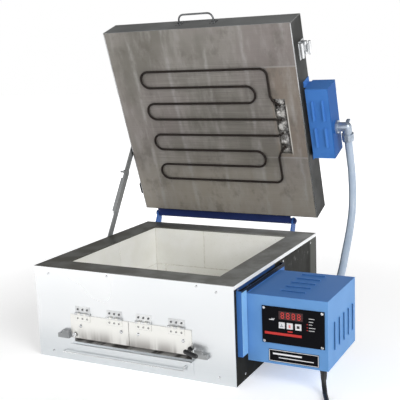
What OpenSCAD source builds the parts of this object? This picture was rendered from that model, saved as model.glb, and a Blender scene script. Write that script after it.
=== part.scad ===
// Top-opening bead annealing kiln, shown with its lid open.
// The origin is the centre of the case's underside; +X is the control box side, +Y the hinge side.

/* [Case] */
// Width of the case over its side panels
case_w = 560; // [500:5:640]
// Depth of the case over its front and back panels
case_d = 566; // [506:5:646]
// Height of the case, floor to rim
case_h = 240; // [230:2:260]
// Sheet steel of the case, lid and boxes
sheet_t = 1.2; // [0.9:0.1:1.6]

/* [Firebrick lining] */
// Thickness of the lining walls
brick_t = 62; // [56:1:68]
// Thickness of the chamber floor bricks
floor_brick_t = 34; // [26:1:36]
// Step from the mandrel slot down to the chamber floor
floor_step = 1; // [0.5:0.5:2]
// Thickness of the board under all the bricks
board_t = 6; // [4:1:8]
// Chamfer of the brick edges at the joints
joint_c = 1.2; // [0.8:0.2:2]

/* [Lid] */
// Width of the lid
lid_w = 568.5; // [562:0.5:576]
// Length of the lid from hinge edge to handle edge
lid_l = 573; // [568:0.5:580]
// Thickness of the lid
lid_t = 73.3; // [66:0.5:80]
// Gap between the closed lid's face and the rim
lid_gap = 2; // [1.8:0.2:3]
// Angle that the lid has turned back from closed
open_deg = 70.74; // [60:0.5:75]
// Height of the hinge axis above the rim
hinge_up = 23.2; // [20:0.2:26]
// Distance of the hinge axis behind the case
hinge_back = 32.3; // [30:0.2:35]
// Diameter of the hinge rod
rod_d = 10; // [8:0.5:12]
// Outside diameter of the hinge tube
tube_d = 18; // [16:0.5:20]

/* [Heating elements] */
// Diameter of the element sheath
sheath_d = 6; // [5:0.5:8]
// Distance between neighbouring element runs
run_pitch = 48.7; // [44:0.1:52]
// Air between the sheath and the lid face
sheath_air = 1; // [0.6:0.2:2]
// Left end of the runs, to the bend's centreline
bend_left = -192; // [-196:1:-180]
// Right end of the inner bends
bend_right = 155.7; // [140:1:165]

/* [Bead doors] */
// Width of each door
door_w = 172; // [160:1:174]
// Height of each door
door_h = 62; // [56:1:66]
// Level of the door hinge axis
door_hinge_z = 127; // [124:1:132]
// Thickness of the door sheet
door_t = 1.5; // [1.2:0.1:2]
// Length of a door hinge
leaf_l = 44; // [36:1:48]
// Level of the ledge that the mandrels rest on
ledge_z = 48; // [44:1:50]

/* [Control box] */
// Width of the control box, away from the case
box_w = 192; // [180:1:210]
// Depth of the control box
box_d = 208; // [196:1:214]
// Height of the control box
box_h = 160; // [150:1:170]
// Level of the control box's underside
box_z = 54; // [50:1:60]
// Space between the case and the control box
box_gap = 12.3; // [10:0.5:16]
// Front of the control box, from the case's centre
box_y = -241; // [-246:1:-230]
// Width of the controller plate
plate_w = 147; // [140:1:150]
// Height of the controller plate
plate_h = 86; // [80:1:90]
// Thickness of the controller plate
plate_t = 2; // [1.5:0.5:3]
// Size of a square key
key_s = 14; // [12:0.5:15]
// Travel of a key
key_travel = 1; // [0.8:0.1:1.5]

/* [Lid terminal box] */
// Width of the terminal box, away from the lid
tbox_w = 62; // [56:1:66]
// Length of the terminal box along the lid's side
tbox_l = 201; // [190:1:206]
// Depth of the terminal box
tbox_t = 70; // [64:1:72]
// Space between the lid and the terminal box
tbox_gap = 8.5; // [7:0.5:12]

/* [Conduit and mains lead] */
// Outside diameter of the flexible conduit
conduit_d = 21; // [18:0.5:23]
// Diameter of the mains lead
cord_d = 11; // [10:0.5:12]
// Mean radius of the coil's outer turns
coil_r = 70; // [62:1:74]
// Turns in the coil
coil_turns = 4; // [4:2:6]

/* [Hidden] */

$fn = 48;
eps = 0.01;
run_fit = 0.05;
pin_gap = 0.4;

// Places worked out from the driving sizes
half_w = case_w / 2;
half_d = case_d / 2;
in_x = half_w - sheet_t - brick_t;
in_y = half_d - sheet_t - brick_t;
hinge_y = half_d + hinge_back;
hinge_z = case_h + hinge_up;
lid_back = half_d + 3.3;
lid_x = lid_w / 2;
wall_z0 = sheet_t + board_t;
wall_z1 = case_h - sheet_t;
course_h = (wall_z1 - wall_z0) / 2;
box_x = half_w + box_gap;
box_x1 = box_x + box_w;
box_y1 = box_y + box_d;
box_z1 = box_z + box_h;
door_axis_y = -half_d - 4.6;
door_axis = [0, door_axis_y, door_hinge_z];
door_top = door_hinge_z - 3.4;
door_mid_gap = 1.2;
slot_x = door_w - 5;
slot_z0 = ledge_z + 3;
slot_z1 = door_hinge_z - 15;
floor_z = slot_z0 - floor_step;
probe_d = 7;
probe_hole_d = probe_d + 2 * run_fit;
probe_y = -120;
probe_z = floor_z + 95;
probe_reach = 12;
plate_x = box_x + 37.5;
plate_z = box_z + 50;
tbox_x = lid_x + tbox_gap;
tbox_u = 185.5;
tbox_d = 10;

// Colours as photographed
c_steel = "#c9cdd0";
c_dark_steel = "#5c5c56";
c_tinted = "#7f7a74";
c_brick = "#dedcd2";
c_blue = "#5f8fd0";
c_deep_blue = "#1d2a60";
c_post_blue = "#2a5aa8";
c_black = "#18181a";
c_chrome = "#d8dadc";
c_arm = "#808587";
c_conduit = "#a9b8cf";

// Small helpers

// Cylinder from point a to point b
module rod(a, b, d) {
    v = b - a;
    l = norm(v);
    translate(a) rotate([0, acos(v[2] / l), atan2(v[1], v[0])]) cylinder(h = l, d = d);
}

// Flat ring of sheet between two rectangles
module frame_ring(w, d, wi, di, h) {
    linear_extrude(h) difference() {
        square([w, d], center = true);
        square([wi, di], center = true);
    }
}

// Rectangle with rounded corners
module round_rect(w, h, r) {
    hull() for (x = [r, w - r], y = [r, h - r]) translate([x, y]) circle(r = r, $fn = 32);
}

// Pan-head screw with a cross recess; the head stands on z = 0
module pan_screw(d = 7, h = 2.2) {
    difference() {
        union() {
            cylinder(h = h * 0.6, d = d);
            translate([0, 0, h * 0.6]) cylinder(h = h * 0.4, d1 = d, d2 = d * 0.6);
        }
        translate([0, 0, h]) cube([d * 0.7, d * 0.16, h], center = true);
        translate([0, 0, h]) cube([d * 0.16, d * 0.7, h], center = true);
    }
}

// Places a screw with its head looking along +x, -x or -y
module facing(dir) {
    if (dir == "x") rotate([0, 90, 0]) children();
    if (dir == "-x") rotate([0, -90, 0]) children();
    if (dir == "-y") rotate([90, 0, 0]) children();
    if (dir == "y") rotate([-90, 0, 0]) children();
}

// Louvre: a slot of length l along x with a hooded lip standing out along +z
module louvre_hood(l, w = 7, t = 1) {
    translate([-l / 2, 0, 0]) rotate([90, 0, 90]) {
        linear_extrude(l) difference() {
            intersection() {
                circle(r = w);
                square([w, w]);
            }
            circle(r = w - t);
        }
        for (z = [0, l - t]) translate([0, 0, z]) linear_extrude(t) intersection() {
            circle(r = w);
            square([w, w]);
        }
    }
}

module louvre_slot(l, w = 7, t = 1, deep = 4) {
    translate([-l / 2 + t, 0, -deep]) cube([l - 2 * t, w - t, deep + 1]);
}

// Lid frame: x across, y out of the lid's face, z along the lid from its hinge edge
module in_lid() {
    translate([0, hinge_y, hinge_z]) rotate([-open_deg, 0, 0]) translate([0, -hinge_y, -hinge_z])
        translate([0, lid_back, case_h + lid_gap]) rotate([90, 0, 0]) children();
}

// Point of the lid frame in the case's frame
function lid_point(p) = let(
        y = lid_back - p[2] - hinge_y,
        z = case_h + lid_gap + p[1] - hinge_z)
    [p[0], hinge_y + y * cos(open_deg) + z * sin(open_deg),
     hinge_z - y * sin(open_deg) + z * cos(open_deg)];

// Sweep of a round tube along points; ref is a direction that the path never follows
function unit(v) = v / norm(v);
function path_dir(p, i) = unit(p[min(i + 1, len(p) - 1)] - p[max(i - 1, 0)]);
function ring_at(p, i, r, n, ref) = let(
        t = path_dir(p, i),
        a = unit(cross(ref, t)),
        b = cross(t, a))
    [for (k = [0 : n - 1]) p[i] + r * (cos(360 * k / n) * a + sin(360 * k / n) * b)];

module tube_sweep(p, d, n, ref) {
    last = len(p) - 1;
    rings = [for (i = [0 : last]) each ring_at(p, i, d / 2, n, ref)];
    sides = [for (i = [0 : last - 1], k = [0 : n - 1], h = [0, 1])
        let(a = i * n + k, b = i * n + (k + 1) % n)
        h == 0 ? [a, a + n, b] : [b, a + n, b + n]];
    start_cap = [for (k = [1 : n - 2]) [0, k, k + 1]];
    end_cap = [for (k = [1 : n - 2]) [last * n, last * n + k + 1, last * n + k]];
    polyhedron(concat(rings, [p[0], p[last]]), concat(sides, start_cap, end_cap));
}

// Case

module bottom_pan() {
    color(c_dark_steel) translate([-half_w + sheet_t, -half_d + sheet_t, 0])
        cube([case_w - 2 * sheet_t, case_d - 2 * sheet_t, sheet_t]);
}

module base_board() {
    slab_z1 = floor_z - floor_brick_t;
    color("#b9b4a6") {
        translate([-half_w + sheet_t, -half_d + sheet_t, sheet_t])
            cube([case_w - 2 * sheet_t, case_d - 2 * sheet_t, board_t]);
        translate([-in_x, -in_y, wall_z0 - 1]) cube([2 * in_x, 2 * in_y, slab_z1 - wall_z0 + 1]);
    }
}

// Firebrick of length l, height h and thickness t, lying along x with its hot face at y = 0
module brick(l, h, t) {
    intersection() {
        linear_extrude(h) polygon([
            [0, joint_c], [joint_c, 0], [l - joint_c, 0], [l, joint_c], [l, t], [0, t]]);
        rotate([90, 0, 90]) linear_extrude(l) polygon([
            [0, joint_c], [joint_c, 0], [t, 0], [t, h], [joint_c, h], [0, h - joint_c]]);
    }
}

// One wall of two courses; joints holds the distances of the upright joints in each course
module brick_wall(l, joints) {
    for (c = [0, 1]) {
        cuts = concat([0], joints[c], [l]);
        for (i = [0 : len(cuts) - 2])
            translate([cuts[i], 0, c * course_h]) brick(cuts[i + 1] - cuts[i], course_h, brick_t);
    }
}

front_joints = [[in_x + 40], [in_x - 60]];
back_joints = [[in_x - 185], [in_x - 50]];
side_joints = [[in_y - 40], [in_y + 80]];

module wall_bricks() {
    color(c_brick) difference() {
        translate([0, 0, wall_z0]) {
            translate([-in_x, in_y, 0]) brick_wall(2 * in_x, back_joints);
            translate([in_x, -in_y, 0]) rotate([0, 0, 180]) brick_wall(2 * in_x, front_joints);
            for (s = [-1, 1]) translate([s * in_x, s * (in_y + brick_t), 0])
                rotate([0, 0, -90 * s]) brick_wall(2 * (in_y + brick_t), side_joints);
        }
        bead_slot();
        translate([in_x - 1, probe_y, probe_z]) rotate([0, 90, 0])
            cylinder(h = brick_t + 2, d = probe_hole_d);
    }
}

// The opening through the front wall behind the bead doors
module bead_slot() {
    translate([-slot_x, -half_d - 1, slot_z0]) cube([2 * slot_x, brick_t + 4, slot_z1 - slot_z0]);
}

module floor_bricks() {
    gap = 0.6;
    n = 4;
    l = 2 * in_x / n;
    color(c_brick) for (i = [0 : n - 1], j = [0, 1])
        translate([-in_x + i * l, -in_y + j * in_y, floor_z - floor_brick_t])
            intersection() {
                linear_extrude(floor_brick_t) translate([gap / 2, gap / 2])
                    square([l - gap, in_y - gap]);
                rotate([90, 0, 90]) linear_extrude(l) polygon([
                    [0, 0], [in_y, 0], [in_y, floor_brick_t - joint_c],
                    [in_y - joint_c, floor_brick_t], [joint_c, floor_brick_t],
                    [0, floor_brick_t - joint_c]]);
            }
}

module front_panel() {
    color(c_steel) difference() {
        translate([-half_w, -half_d, 0]) cube([case_w, sheet_t, wall_z1]);
        bead_slot();
    }
}

// One sheet bent round the two sides and the back
module case_wrap() {
    color(c_steel) difference() {
        translate([-half_w, -half_d + sheet_t, 0]) cube([case_w, case_d - sheet_t, wall_z1]);
        translate([-half_w + sheet_t, -half_d, -1])
            cube([case_w - 2 * sheet_t, case_d - sheet_t, wall_z1 + 2]);
        translate([half_w - 2 * sheet_t, probe_y, probe_z]) rotate([0, 90, 0])
            cylinder(h = 9, d = probe_hole_d);
    }
}

module rim_trim() {
    lip = 2.4;
    w = 2 * in_x;
    d = 2 * in_y;
    t = 2 * sheet_t;
    color(c_dark_steel) {
        translate([0, 0, wall_z1]) frame_ring(case_w, case_d, w - t, d - t, sheet_t);
        translate([0, 0, wall_z1 - lip]) frame_ring(w, d, w - t, d - t, lip + eps);
    }
}

front_screws = [[-236.6, 18], [237, 18], [-236.6, 222], [236, 222], [-59.8, 231], [185.8, 231]];
side_screws = [[20.2, 222.6], [-233.4, 15.3], [233, 16], [233, 222], [-262, 225]];

module case_screws() {
    color(c_chrome) {
        for (p = front_screws) translate([p[0], -half_d, p[1]]) facing("-y") pan_screw(6, 1.8);
        for (s = [-1, 1], p = side_screws) translate([s * half_w, p[0], p[1]])
            facing(s > 0 ? "x" : "-x") pan_screw(6, 1.8);
        for (x = [-272, 0, 272], z = [18, 222]) translate([x, half_d, z])
            facing("y") pan_screw(6, 1.8);
        plate_screws();
    }
}

// Hinge

post_x = [-255, 200];
post_t = 4;
post_foot = 70;

module hinge_posts() {
    ear_r = rod_d / 2 + 6;
    foot_w = 26;
    color(c_post_blue) for (x = post_x) difference() {
        union() {
            translate([x - post_t / 2, 0, 0]) rotate([90, 0, 90]) linear_extrude(post_t) polygon([
                [half_d, case_h - post_foot], [half_d + 14, case_h - post_foot],
                [hinge_y + ear_r, hinge_z - 18], [hinge_y + ear_r, hinge_z],
                [hinge_y - ear_r, hinge_z], [half_d, case_h - 20]]);
            translate([x - post_t / 2, hinge_y, hinge_z]) rotate([0, 90, 0])
                cylinder(h = post_t, r = ear_r);
            translate([x - post_t / 2 - (x < 0 ? 0 : foot_w - post_t), half_d, case_h - post_foot])
                cube([foot_w, 3, post_foot - 6]);
        }
        translate([x - post_t, hinge_y, hinge_z]) rotate([0, 90, 0])
            cylinder(h = 2 * post_t, d = rod_d + 2 * run_fit);
    }
}

module hinge_rod() {
    nut_t = 5;
    x0 = post_x[0] - post_t / 2 - nut_t - 2;
    x1 = post_x[1] + post_t / 2 + nut_t + 2;
    color(c_deep_blue) {
        translate([x0, hinge_y, hinge_z]) rotate([0, 90, 0]) cylinder(h = x1 - x0, d = rod_d);
        for (x = [x0 + 2, x1 - 2 - nut_t]) translate([x, hinge_y, hinge_z]) rotate([0, 90, 0])
            cylinder(h = nut_t, d = rod_d * 1.75, $fn = 6);
    }
}

module lid_hinge() {
    side_gap = 1.5;
    x0 = post_x[0] + post_t / 2 + side_gap;
    x1 = post_x[1] - post_t / 2 - side_gap;
    wrap_x = [x0 + 30, (x0 + x1) / 2, x1 - 30];
    wrap_w = 46;
    color(c_deep_blue) translate([0, hinge_y, hinge_z]) rotate([-open_deg, 0, 0]) difference() {
        union() {
            translate([x0, 0, 0]) rotate([0, 90, 0]) cylinder(h = x1 - x0, d = tube_d);
            translate([x0, lid_back - hinge_y, -10]) cube([x1 - x0, 2.5, 44]);
            for (x = wrap_x) translate([x - wrap_w / 2, lid_back - hinge_y, -tube_d / 2])
                cube([wrap_w, hinge_y - lid_back, 3]);
        }
        translate([x0 - 1, 0, 0]) rotate([0, 90, 0])
            cylinder(h = x1 - x0 + 2, d = rod_d + 2 * run_fit);
    }
}

// Folding stay on the left side

stay_q = [32.7, 167.5];
stay_p = [37, 217];
arm_w = 20;
arm_t = 3;
arm_x = lid_x + 2.7;
stay_pin_d = 8;
elbow_along = 183;
stay_p_world = [lid_point([0, stay_p[0], stay_p[1]])[1], lid_point([0, stay_p[0], stay_p[1]])[2]];
stay_dir = unit(stay_p_world - stay_q);
stay_deg = atan2(stay_dir[1], stay_dir[0]);
stay_len = norm(stay_p_world - stay_q);

// Frame whose x runs up the straight stay from its lower pivot, with z out to the left
module in_stay() {
    translate([-arm_x, stay_q[0], stay_q[1]]) rotate([stay_deg, 0, 0]) rotate([-90, 0, 90])
        children();
}

module arm_blank(l) {
    circle(d = arm_w);
    translate([0, -arm_w / 2]) square([l, arm_w]);
    translate([l, 0]) circle(d = arm_w);
}

module lower_arm() {
    reach = 106;
    l = elbow_along + reach;
    stop_y = -arm_w / 2 - 4.4;
    color(c_arm) in_stay() difference() {
        union() {
            linear_extrude(arm_t) {
                arm_blank(l);
                translate([l - 4, stop_y]) circle(d = 12);
                translate([l - 10, stop_y]) square([12, -stop_y]);
            }
            translate([l - 4, stop_y, 0]) cylinder(h = arm_t + 12, d = 6);
        }
        translate([0, 0, -1]) cylinder(h = arm_t + 2, d = stay_pin_d + 2 * run_fit);
    }
}

module upper_arm() {
    tail = 24;
    flange = 8;
    x0 = elbow_along - tail;
    l = stay_len - x0;
    color(c_arm) in_stay() translate([0, 0, arm_t + pin_gap]) difference() {
        union() {
            translate([x0, 0, 0]) linear_extrude(arm_t) arm_blank(l);
            for (s = [0, 1]) translate([x0, s * (arm_w - 2) - arm_w / 2, 0])
                cube([l - 130, 2, flange]);
            for (x = [elbow_along, elbow_along + 66]) translate([x, 0, arm_t])
                cylinder(h = 5, d = 12, $fn = 6);
        }
        translate([stay_len, 0, -1]) cylinder(h = arm_t + 2, d = stay_pin_d + 2 * run_fit);
    }
}

module stay_post() {
    color(c_chrome) translate([-half_w, stay_q[0], stay_q[1]]) rotate([0, -90, 0]) {
        cylinder(h = arm_x - half_w - pin_gap, d = 18);
        cylinder(h = arm_x - half_w + arm_t + 1, d = stay_pin_d);
        translate([0, 0, arm_x - half_w + arm_t + pin_gap]) cylinder(h = 4, d = 13, $fn = 6);
    }
}

module stay_bracket() {
    reach = arm_x - lid_x + arm_t + pin_gap;
    color(c_chrome) in_lid() translate([-lid_x, stay_p[0], stay_p[1]]) rotate([0, -90, 0]) {
        cylinder(h = reach - pin_gap, d = 18);
        cylinder(h = reach + arm_t + 1, d = stay_pin_d);
        translate([0, 0, reach + arm_t + pin_gap]) cylinder(h = 3.5, d = 13, $fn = 6);
    }
}

module lid_bumper() {
    color(c_black) in_lid() translate([-lid_x, 20, 56]) rotate([0, -90, 0]) {
        linear_extrude(3) square([50, 36]);
        translate([0, 8, 3]) linear_extrude(12) square([50, 18]);
    }
}

// Lid

module lid_shell() {
    color(c_dark_steel) in_lid() difference() {
        translate([-lid_x, 0, 0]) cube([lid_w, lid_t, lid_l]);
        translate([-lid_x + sheet_t, -1, sheet_t])
            cube([lid_w - 2 * sheet_t, lid_t - sheet_t + 1, lid_l - 2 * sheet_t]);
    }
}

window_x0 = 202;
window_x1 = 237;
window_u0 = 200;
window_u1 = 365.6;
window_deep = 22;

module lid_liner() {
    color(c_tinted) in_lid() difference() {
        translate([-lid_x + sheet_t, 0, sheet_t])
            cube([lid_w - 2 * sheet_t, sheet_t, lid_l - 2 * sheet_t]);
        translate([window_x0, -1, window_u0])
            cube([window_x1 - window_x0, sheet_t + 2, window_u1 - window_u0]);
    }
}

module lid_insulation() {
    color("#e6e2d6") in_lid() difference() {
        translate([-lid_x + sheet_t, sheet_t, sheet_t])
            cube([lid_w - 2 * sheet_t, lid_t - 2 * sheet_t, lid_l - 2 * sheet_t]);
        translate([window_x0, 0, window_u0])
            cube([window_x1 - window_x0, window_deep, window_u1 - window_u0]);
    }
}

// Heating elements, drawn in the lid frame

sheath_y = -sheath_d / 2 - sheath_air;
run_mid = 282.8;
riser_x = 198;
knee_x = 204;
inlet_x = 217;
inlet_y = 6.5;
riser_end = 91.2;
function run_u(i) = run_mid + (3.5 - i) * run_pitch;
bend_r = run_pitch / 2;
corner_r = 20;

module run_tube(i, x0, x1) {
    translate([x0, sheath_y, run_u(i)]) rotate([0, 90, 0]) cylinder(h = x1 - x0, d = sheath_d);
}

// Bend from angle a0, turning by sweep, in the plane of the lid face
module bend_tube(x, u, r, a0, sweep) {
    translate([x, sheath_y, u]) rotate([90, 0, 0]) rotate([0, 0, a0])
        rotate_extrude(angle = sweep) translate([r, 0]) circle(d = sheath_d, $fn = 24);
}

// The ends that slant into the window: the outer one from the riser, the inner one from its run
function riser_foot(s) = [riser_x, sheath_y, run_mid + s * riser_end];
function outer_knee(s) = [knee_x, sheath_y, run_mid + s * (riser_end - 13)];
function outer_end(s) = [inlet_x, inlet_y, run_mid + s * (riser_end - 31)];
function inner_knee(s) = [knee_x, sheath_y, run_mid + s * bend_r];
function inner_end(s) = [inlet_x, inlet_y, run_mid + s * (bend_r - 5)];

module slants(s, d) {
    rod(outer_knee(s), outer_end(s), d);
    rod(inner_knee(s), inner_end(s), d);
}

// One element of four runs; s is 1 above the lid's middle and -1 below it
module element(s) {
    rows = s > 0 ? [0, 1, 2, 3] : [7, 6, 5, 4];
    x_left = bend_left + bend_r;
    x_right = bend_right - bend_r;
    run_tube(rows[0], x_left, riser_x - corner_r);
    run_tube(rows[1], x_left, x_right);
    run_tube(rows[2], x_left, x_right);
    run_tube(rows[3], x_left, knee_x);
    for (m = [0, 2]) bend_tube(x_left, (run_u(rows[m]) + run_u(rows[m + 1])) / 2, bend_r, 90, 180);
    bend_tube(x_right, (run_u(rows[1]) + run_u(rows[2])) / 2, bend_r, -90, 180);
    bend_tube(riser_x - corner_r, run_u(rows[0]) - s * corner_r, corner_r, s > 0 ? 0 : -90, 90);
    riser_top = run_u(rows[0]) - s * corner_r;
    rod([riser_x, sheath_y, riser_top], riser_foot(s), sheath_d);
    rod(riser_foot(s), outer_knee(s), sheath_d);
    for (p = [riser_foot(s), outer_knee(s), inner_knee(s)]) translate(p) sphere(d = sheath_d + 0.5);
    slants(s, sheath_d);
    for (m = [0, 2]) stud(bend_left, (run_u(rows[m]) + run_u(rows[m + 1])) / 2);
    stud(bend_right, (run_u(rows[1]) + run_u(rows[2])) / 2);
}

// Weld stud between the sheath and the lid's face
module stud(x, u) {
    rod([x, sheath_y, u], [x, 0, u], sheath_d / 2);
}

module element_upper() { color("#2b2624") in_lid() element(1); }

module element_lower() { color("#2b2624") in_lid() element(-1); }

// Packing round the element ends, in lumps of about 30 mm
module terminal_wool() {
    lump = 15;
    n = 6;
    step = (window_u1 - window_u0 - 2 * lump) / (n - 1);
    color("#b8b4ac") in_lid() difference() {
        translate([window_x0 + 6, 1.5, window_u0 + 1])
            cube([window_x1 - window_x0 - 7, window_deep - 2, window_u1 - window_u0 - 2]);
        for (i = [0 : n - 1]) translate([window_x0 + 20, 1.5, window_u0 + lump + (i - 0.5) * step])
            rotate([0, 45 - 20 * (i % 2), 0]) cube([60, 9 + 4 * (i % 3), 11], center = true);
        for (s = [-1, 1]) slants(s, sheath_d + 1);
        for (s = [-1, 1], p = [outer_end(s), inner_end(s)])
            translate(p + [-2, -2, 0]) rotate([0, 90, 0]) cylinder(h = 6, d = sheath_d + 4);
    }
}

module lid_handle() {
    wire = 5;
    x0 = -56;
    x1 = 49;
    up = 26;
    r = 16;
    depth = 42;
    color(c_chrome) in_lid() translate([0, depth, lid_l]) {
        for (x = [x0, x1]) translate([x, 0, 0]) cylinder(h = up - r, d = wire);
        translate([x0 + r, 0, up - r]) rotate([90, 0, 0]) rotate([0, 0, 90])
            rotate_extrude(angle = 90) translate([r, 0]) circle(d = wire, $fn = 24);
        translate([x1 - r, 0, up - r]) rotate([90, 0, 0])
            rotate_extrude(angle = 90) translate([r, 0]) circle(d = wire, $fn = 24);
        translate([x0 + r, 0, up]) rotate([0, 90, 0]) cylinder(h = x1 - x0 - 2 * r, d = wire);
        for (x = [x0, x1]) {
            translate([x - 7, -13, 0]) cube([14, 26, 1.5]);
            translate([x, 0, 0]) cylinder(h = 7, d = 10);
            for (y = [-9, 9]) translate([x, y, 1.5]) pan_screw(5, 1.6);
        }
    }
}

// Latch on the lid's right side

latch_u = 486;
latch_d = 44;

latch_pin_d = 4;
latch_pivot = [9, 12];
ear_r = 6;

module latch_base() {
    color(c_chrome) in_lid() translate([lid_x, latch_d, latch_u]) difference() {
        union() {
            translate([0, -20, -24]) cube([2, 40, 48]);
            translate([0, -16, -20]) cube([8, 8, 40]);
            translate([8, -12, -20]) cylinder(h = 40, d = 9);
            for (z = [-18, 10]) translate([0, 0, z]) {
                translate([0, latch_pivot[1] - ear_r, 0]) cube([latch_pivot[0], 2 * ear_r, 8]);
                translate([latch_pivot[0], latch_pivot[1], 0]) cylinder(h = 8, r = ear_r);
            }
        }
        translate([latch_pivot[0], latch_pivot[1], -19])
            cylinder(h = 38, d = latch_pin_d + 2 * run_fit);
    }
}

module latch_lever() {
    half_l = 10 - pin_gap;
    color(c_chrome) in_lid() translate([lid_x, latch_d, latch_u]) {
        translate([latch_pivot[0], latch_pivot[1], -half_l]) cylinder(h = 2 * half_l, d = 7);
        translate([latch_pivot[0], latch_pivot[1], -17]) cylinder(h = 34, d = latch_pin_d);
        translate([latch_pivot[0], latch_pivot[1] - 3, -half_l]) cube([12, 6, 2 * half_l]);
        translate([latch_pivot[0] + 12, latch_pivot[1], -18]) cylinder(h = 36, d = 8);
    }
}

module latch_keeper() {
    color(c_chrome) translate([half_w, -(latch_u - lid_back) - 10, 196]) {
        cube([2, 20, 24]);
        translate([0, 0, 14]) cube([8, 20, 3]);
        translate([6, 0, 14]) cube([2, 20, 8]);
    }
}

// Terminal box on the lid's right side

module terminal_cover() {
    slot_l = 57;
    slot_x = [14, 42];
    slot_u = [62, 140];
    hood = 5;
    color(c_blue) in_lid() translate([tbox_x, tbox_d, tbox_u]) {
        difference() {
            cube([tbox_w, tbox_t, tbox_l]);
            translate([sheet_t, sheet_t, sheet_t])
                cube([tbox_w - 2 * sheet_t, tbox_t - 2 * sheet_t, tbox_l - 2 * sheet_t]);
            for (x = slot_x, u = slot_u) translate([x, 0, u]) rotate([90, 90, 0])
                louvre_slot(slot_l, hood);
            translate([tbox_w - 3, elbow_d - tbox_d, elbow_u - tbox_u]) rotate([0, 90, 0])
                cylinder(h = 6, d = 22);
        }
        for (x = slot_x, u = slot_u) translate([x, 0, u]) rotate([90, 90, 0]) louvre_hood(slot_l, hood);
    }
}

module terminal_brackets() {
    bw = 44;
    color(c_post_blue) in_lid() for (s = [0, 1])
        translate([lid_x, tbox_d + 18, tbox_u + s * tbox_l]) mirror([0, 0, s]) {
            translate([0, 0, -14]) cube([1.5, bw, 16]);
            translate([0, 0, 0.5]) cube([tbox_gap, bw, 1.5]);
            translate([1.5, bw / 2, -7]) rotate([0, 90, 0]) pan_screw(6, 2);
        }
}

elbow_u = 262;
elbow_d = 50;
elbow_out = 28;

module elbow_fitting() {
    body_d = 26;
    drop = 20;
    nut_h = 16;
    color("#c3cede") in_lid() translate([tbox_x + tbox_w, elbow_d, elbow_u]) {
        translate([-2 * sheet_t - 1, 0, 0]) rotate([0, 90, 0]) cylinder(h = 2 * sheet_t + 2, d = 21.6);
        rotate([0, 90, 0]) cylinder(h = 5, d = 38, $fn = 8);
        translate([5, 0, 0]) rotate([0, 90, 0]) cylinder(h = elbow_out - 5, d = body_d);
        translate([elbow_out, 0, 0]) sphere(d = body_d);
        translate([elbow_out, 0, -drop]) cylinder(h = drop, d = body_d);
        translate([elbow_out, 0, -drop - nut_h]) cylinder(h = nut_h, d = 34, $fn = 10);
        translate([elbow_out, 0, -drop - nut_h - 5]) cylinder(h = 5, d = 30);
        translate([elbow_out - 4, 8, 8]) cube([9, 14, 6]);
    }
}

// Control box

module spacer_bracket() {
    y0 = -half_d + 13;
    y1 = -2;
    z0 = box_z + 16;
    z1 = box_z1 + 11;
    rise = box_gap - sheet_t;
    color(c_blue) {
        translate([half_w, y0, z0]) cube([box_gap, sheet_t, z1 - z0]);
        difference() {
            translate([half_w + rise, y0, z0]) cube([sheet_t, y1 - y0, z1 - z0]);
            translate([half_w, box_y - 2, box_z1 - 14]) cube([box_gap + 1, y1 - box_y - 12, 18]);
        }
        translate([half_w, y1 - sheet_t, z0]) cube([box_gap, sheet_t, z1 - z0]);
        translate([half_w, y0, z0]) cube([box_gap, y1 - y0, sheet_t]);
    }
}

module control_chassis() {
    color(c_dark_steel) {
        translate([box_x, box_y + sheet_t, box_z + sheet_t])
            cube([sheet_t, box_d - 2 * sheet_t, box_h - 2 * sheet_t]);
        translate([box_x + sheet_t - eps, box_y + sheet_t, box_z + sheet_t])
            cube([14, box_d - 2 * sheet_t, sheet_t]);
    }
}

louvre_rows = 5;
louvre_first = 42;
louvre_pitch = 35;

module control_cover() {
    slot_l = 60;
    side_l = 66;
    hood = 3.4;
    color(c_blue) {
        difference() {
            translate([box_x, box_y, box_z]) cube([box_w, box_d, box_h]);
            translate([box_x - 1, box_y + sheet_t, box_z + sheet_t])
                cube([box_w - sheet_t + 1, box_d - 2 * sheet_t, box_h - 2 * sheet_t]);
            translate([plate_x + 8, box_y - 1, plate_z + 8]) cube([plate_w - 16, 4, plate_h - 16]);
            place_top_louvres() louvre_slot(slot_l, hood);
            place_side_louvres() louvre_slot(side_l, hood);
            translate([gland_x, gland_y, box_z - 1]) cylinder(h = 4, d = 18);
            translate([socket_x, box_y1 - 3, socket_z]) rotate([-90, 0, 0]) cylinder(h = 6, d = 22);
        }
        place_top_louvres() louvre_hood(slot_l, hood);
        place_side_louvres() louvre_hood(side_l, hood);
    }
}

module place_top_louvres() {
    for (i = [0 : louvre_rows - 1])
        translate([box_x + box_w / 2, box_y + louvre_first + louvre_pitch * i, box_z1]) children();
}

module place_side_louvres() {
    for (i = [0 : louvre_rows - 1])
        translate([box_x1, box_y + louvre_first + louvre_pitch * i, box_z + 0.43 * box_h])
            rotate([90, 90, 90]) children();
}

key_x = [370.8, 389.6, 409.6];
key_z = 141.8;
key_plate_y = box_y - plate_t;
display_x = 370;
display_z = 162;
display_w = 57;
display_h = 19;

module controller_plate() {
    color(c_black) difference() {
        translate([plate_x, key_plate_y, plate_z]) cube([plate_w, plate_t, plate_h]);
        for (x = key_x) translate([x - pin_gap, key_plate_y - 1, key_z - pin_gap])
            cube([key_s + 2 * pin_gap, plate_t + 2, key_s + 2 * pin_gap]);
        translate([display_x, key_plate_y - 1, display_z]) cube([display_w, plate_t + 2, display_h]);
    }
}

module plate_screws() {
    inset = 5;
    for (x = [inset, plate_w - inset], z = [inset - 1, plate_h - inset + 1])
        translate([plate_x + x, key_plate_y, plate_z + z]) facing("-y") pan_screw(6.5, 2);
}

module display() {
    lens_t = 3;
    color("#5a0d0d") translate([display_x, key_plate_y + 0.3, display_z])
        cube([display_w, lens_t, display_h]);
}

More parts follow.
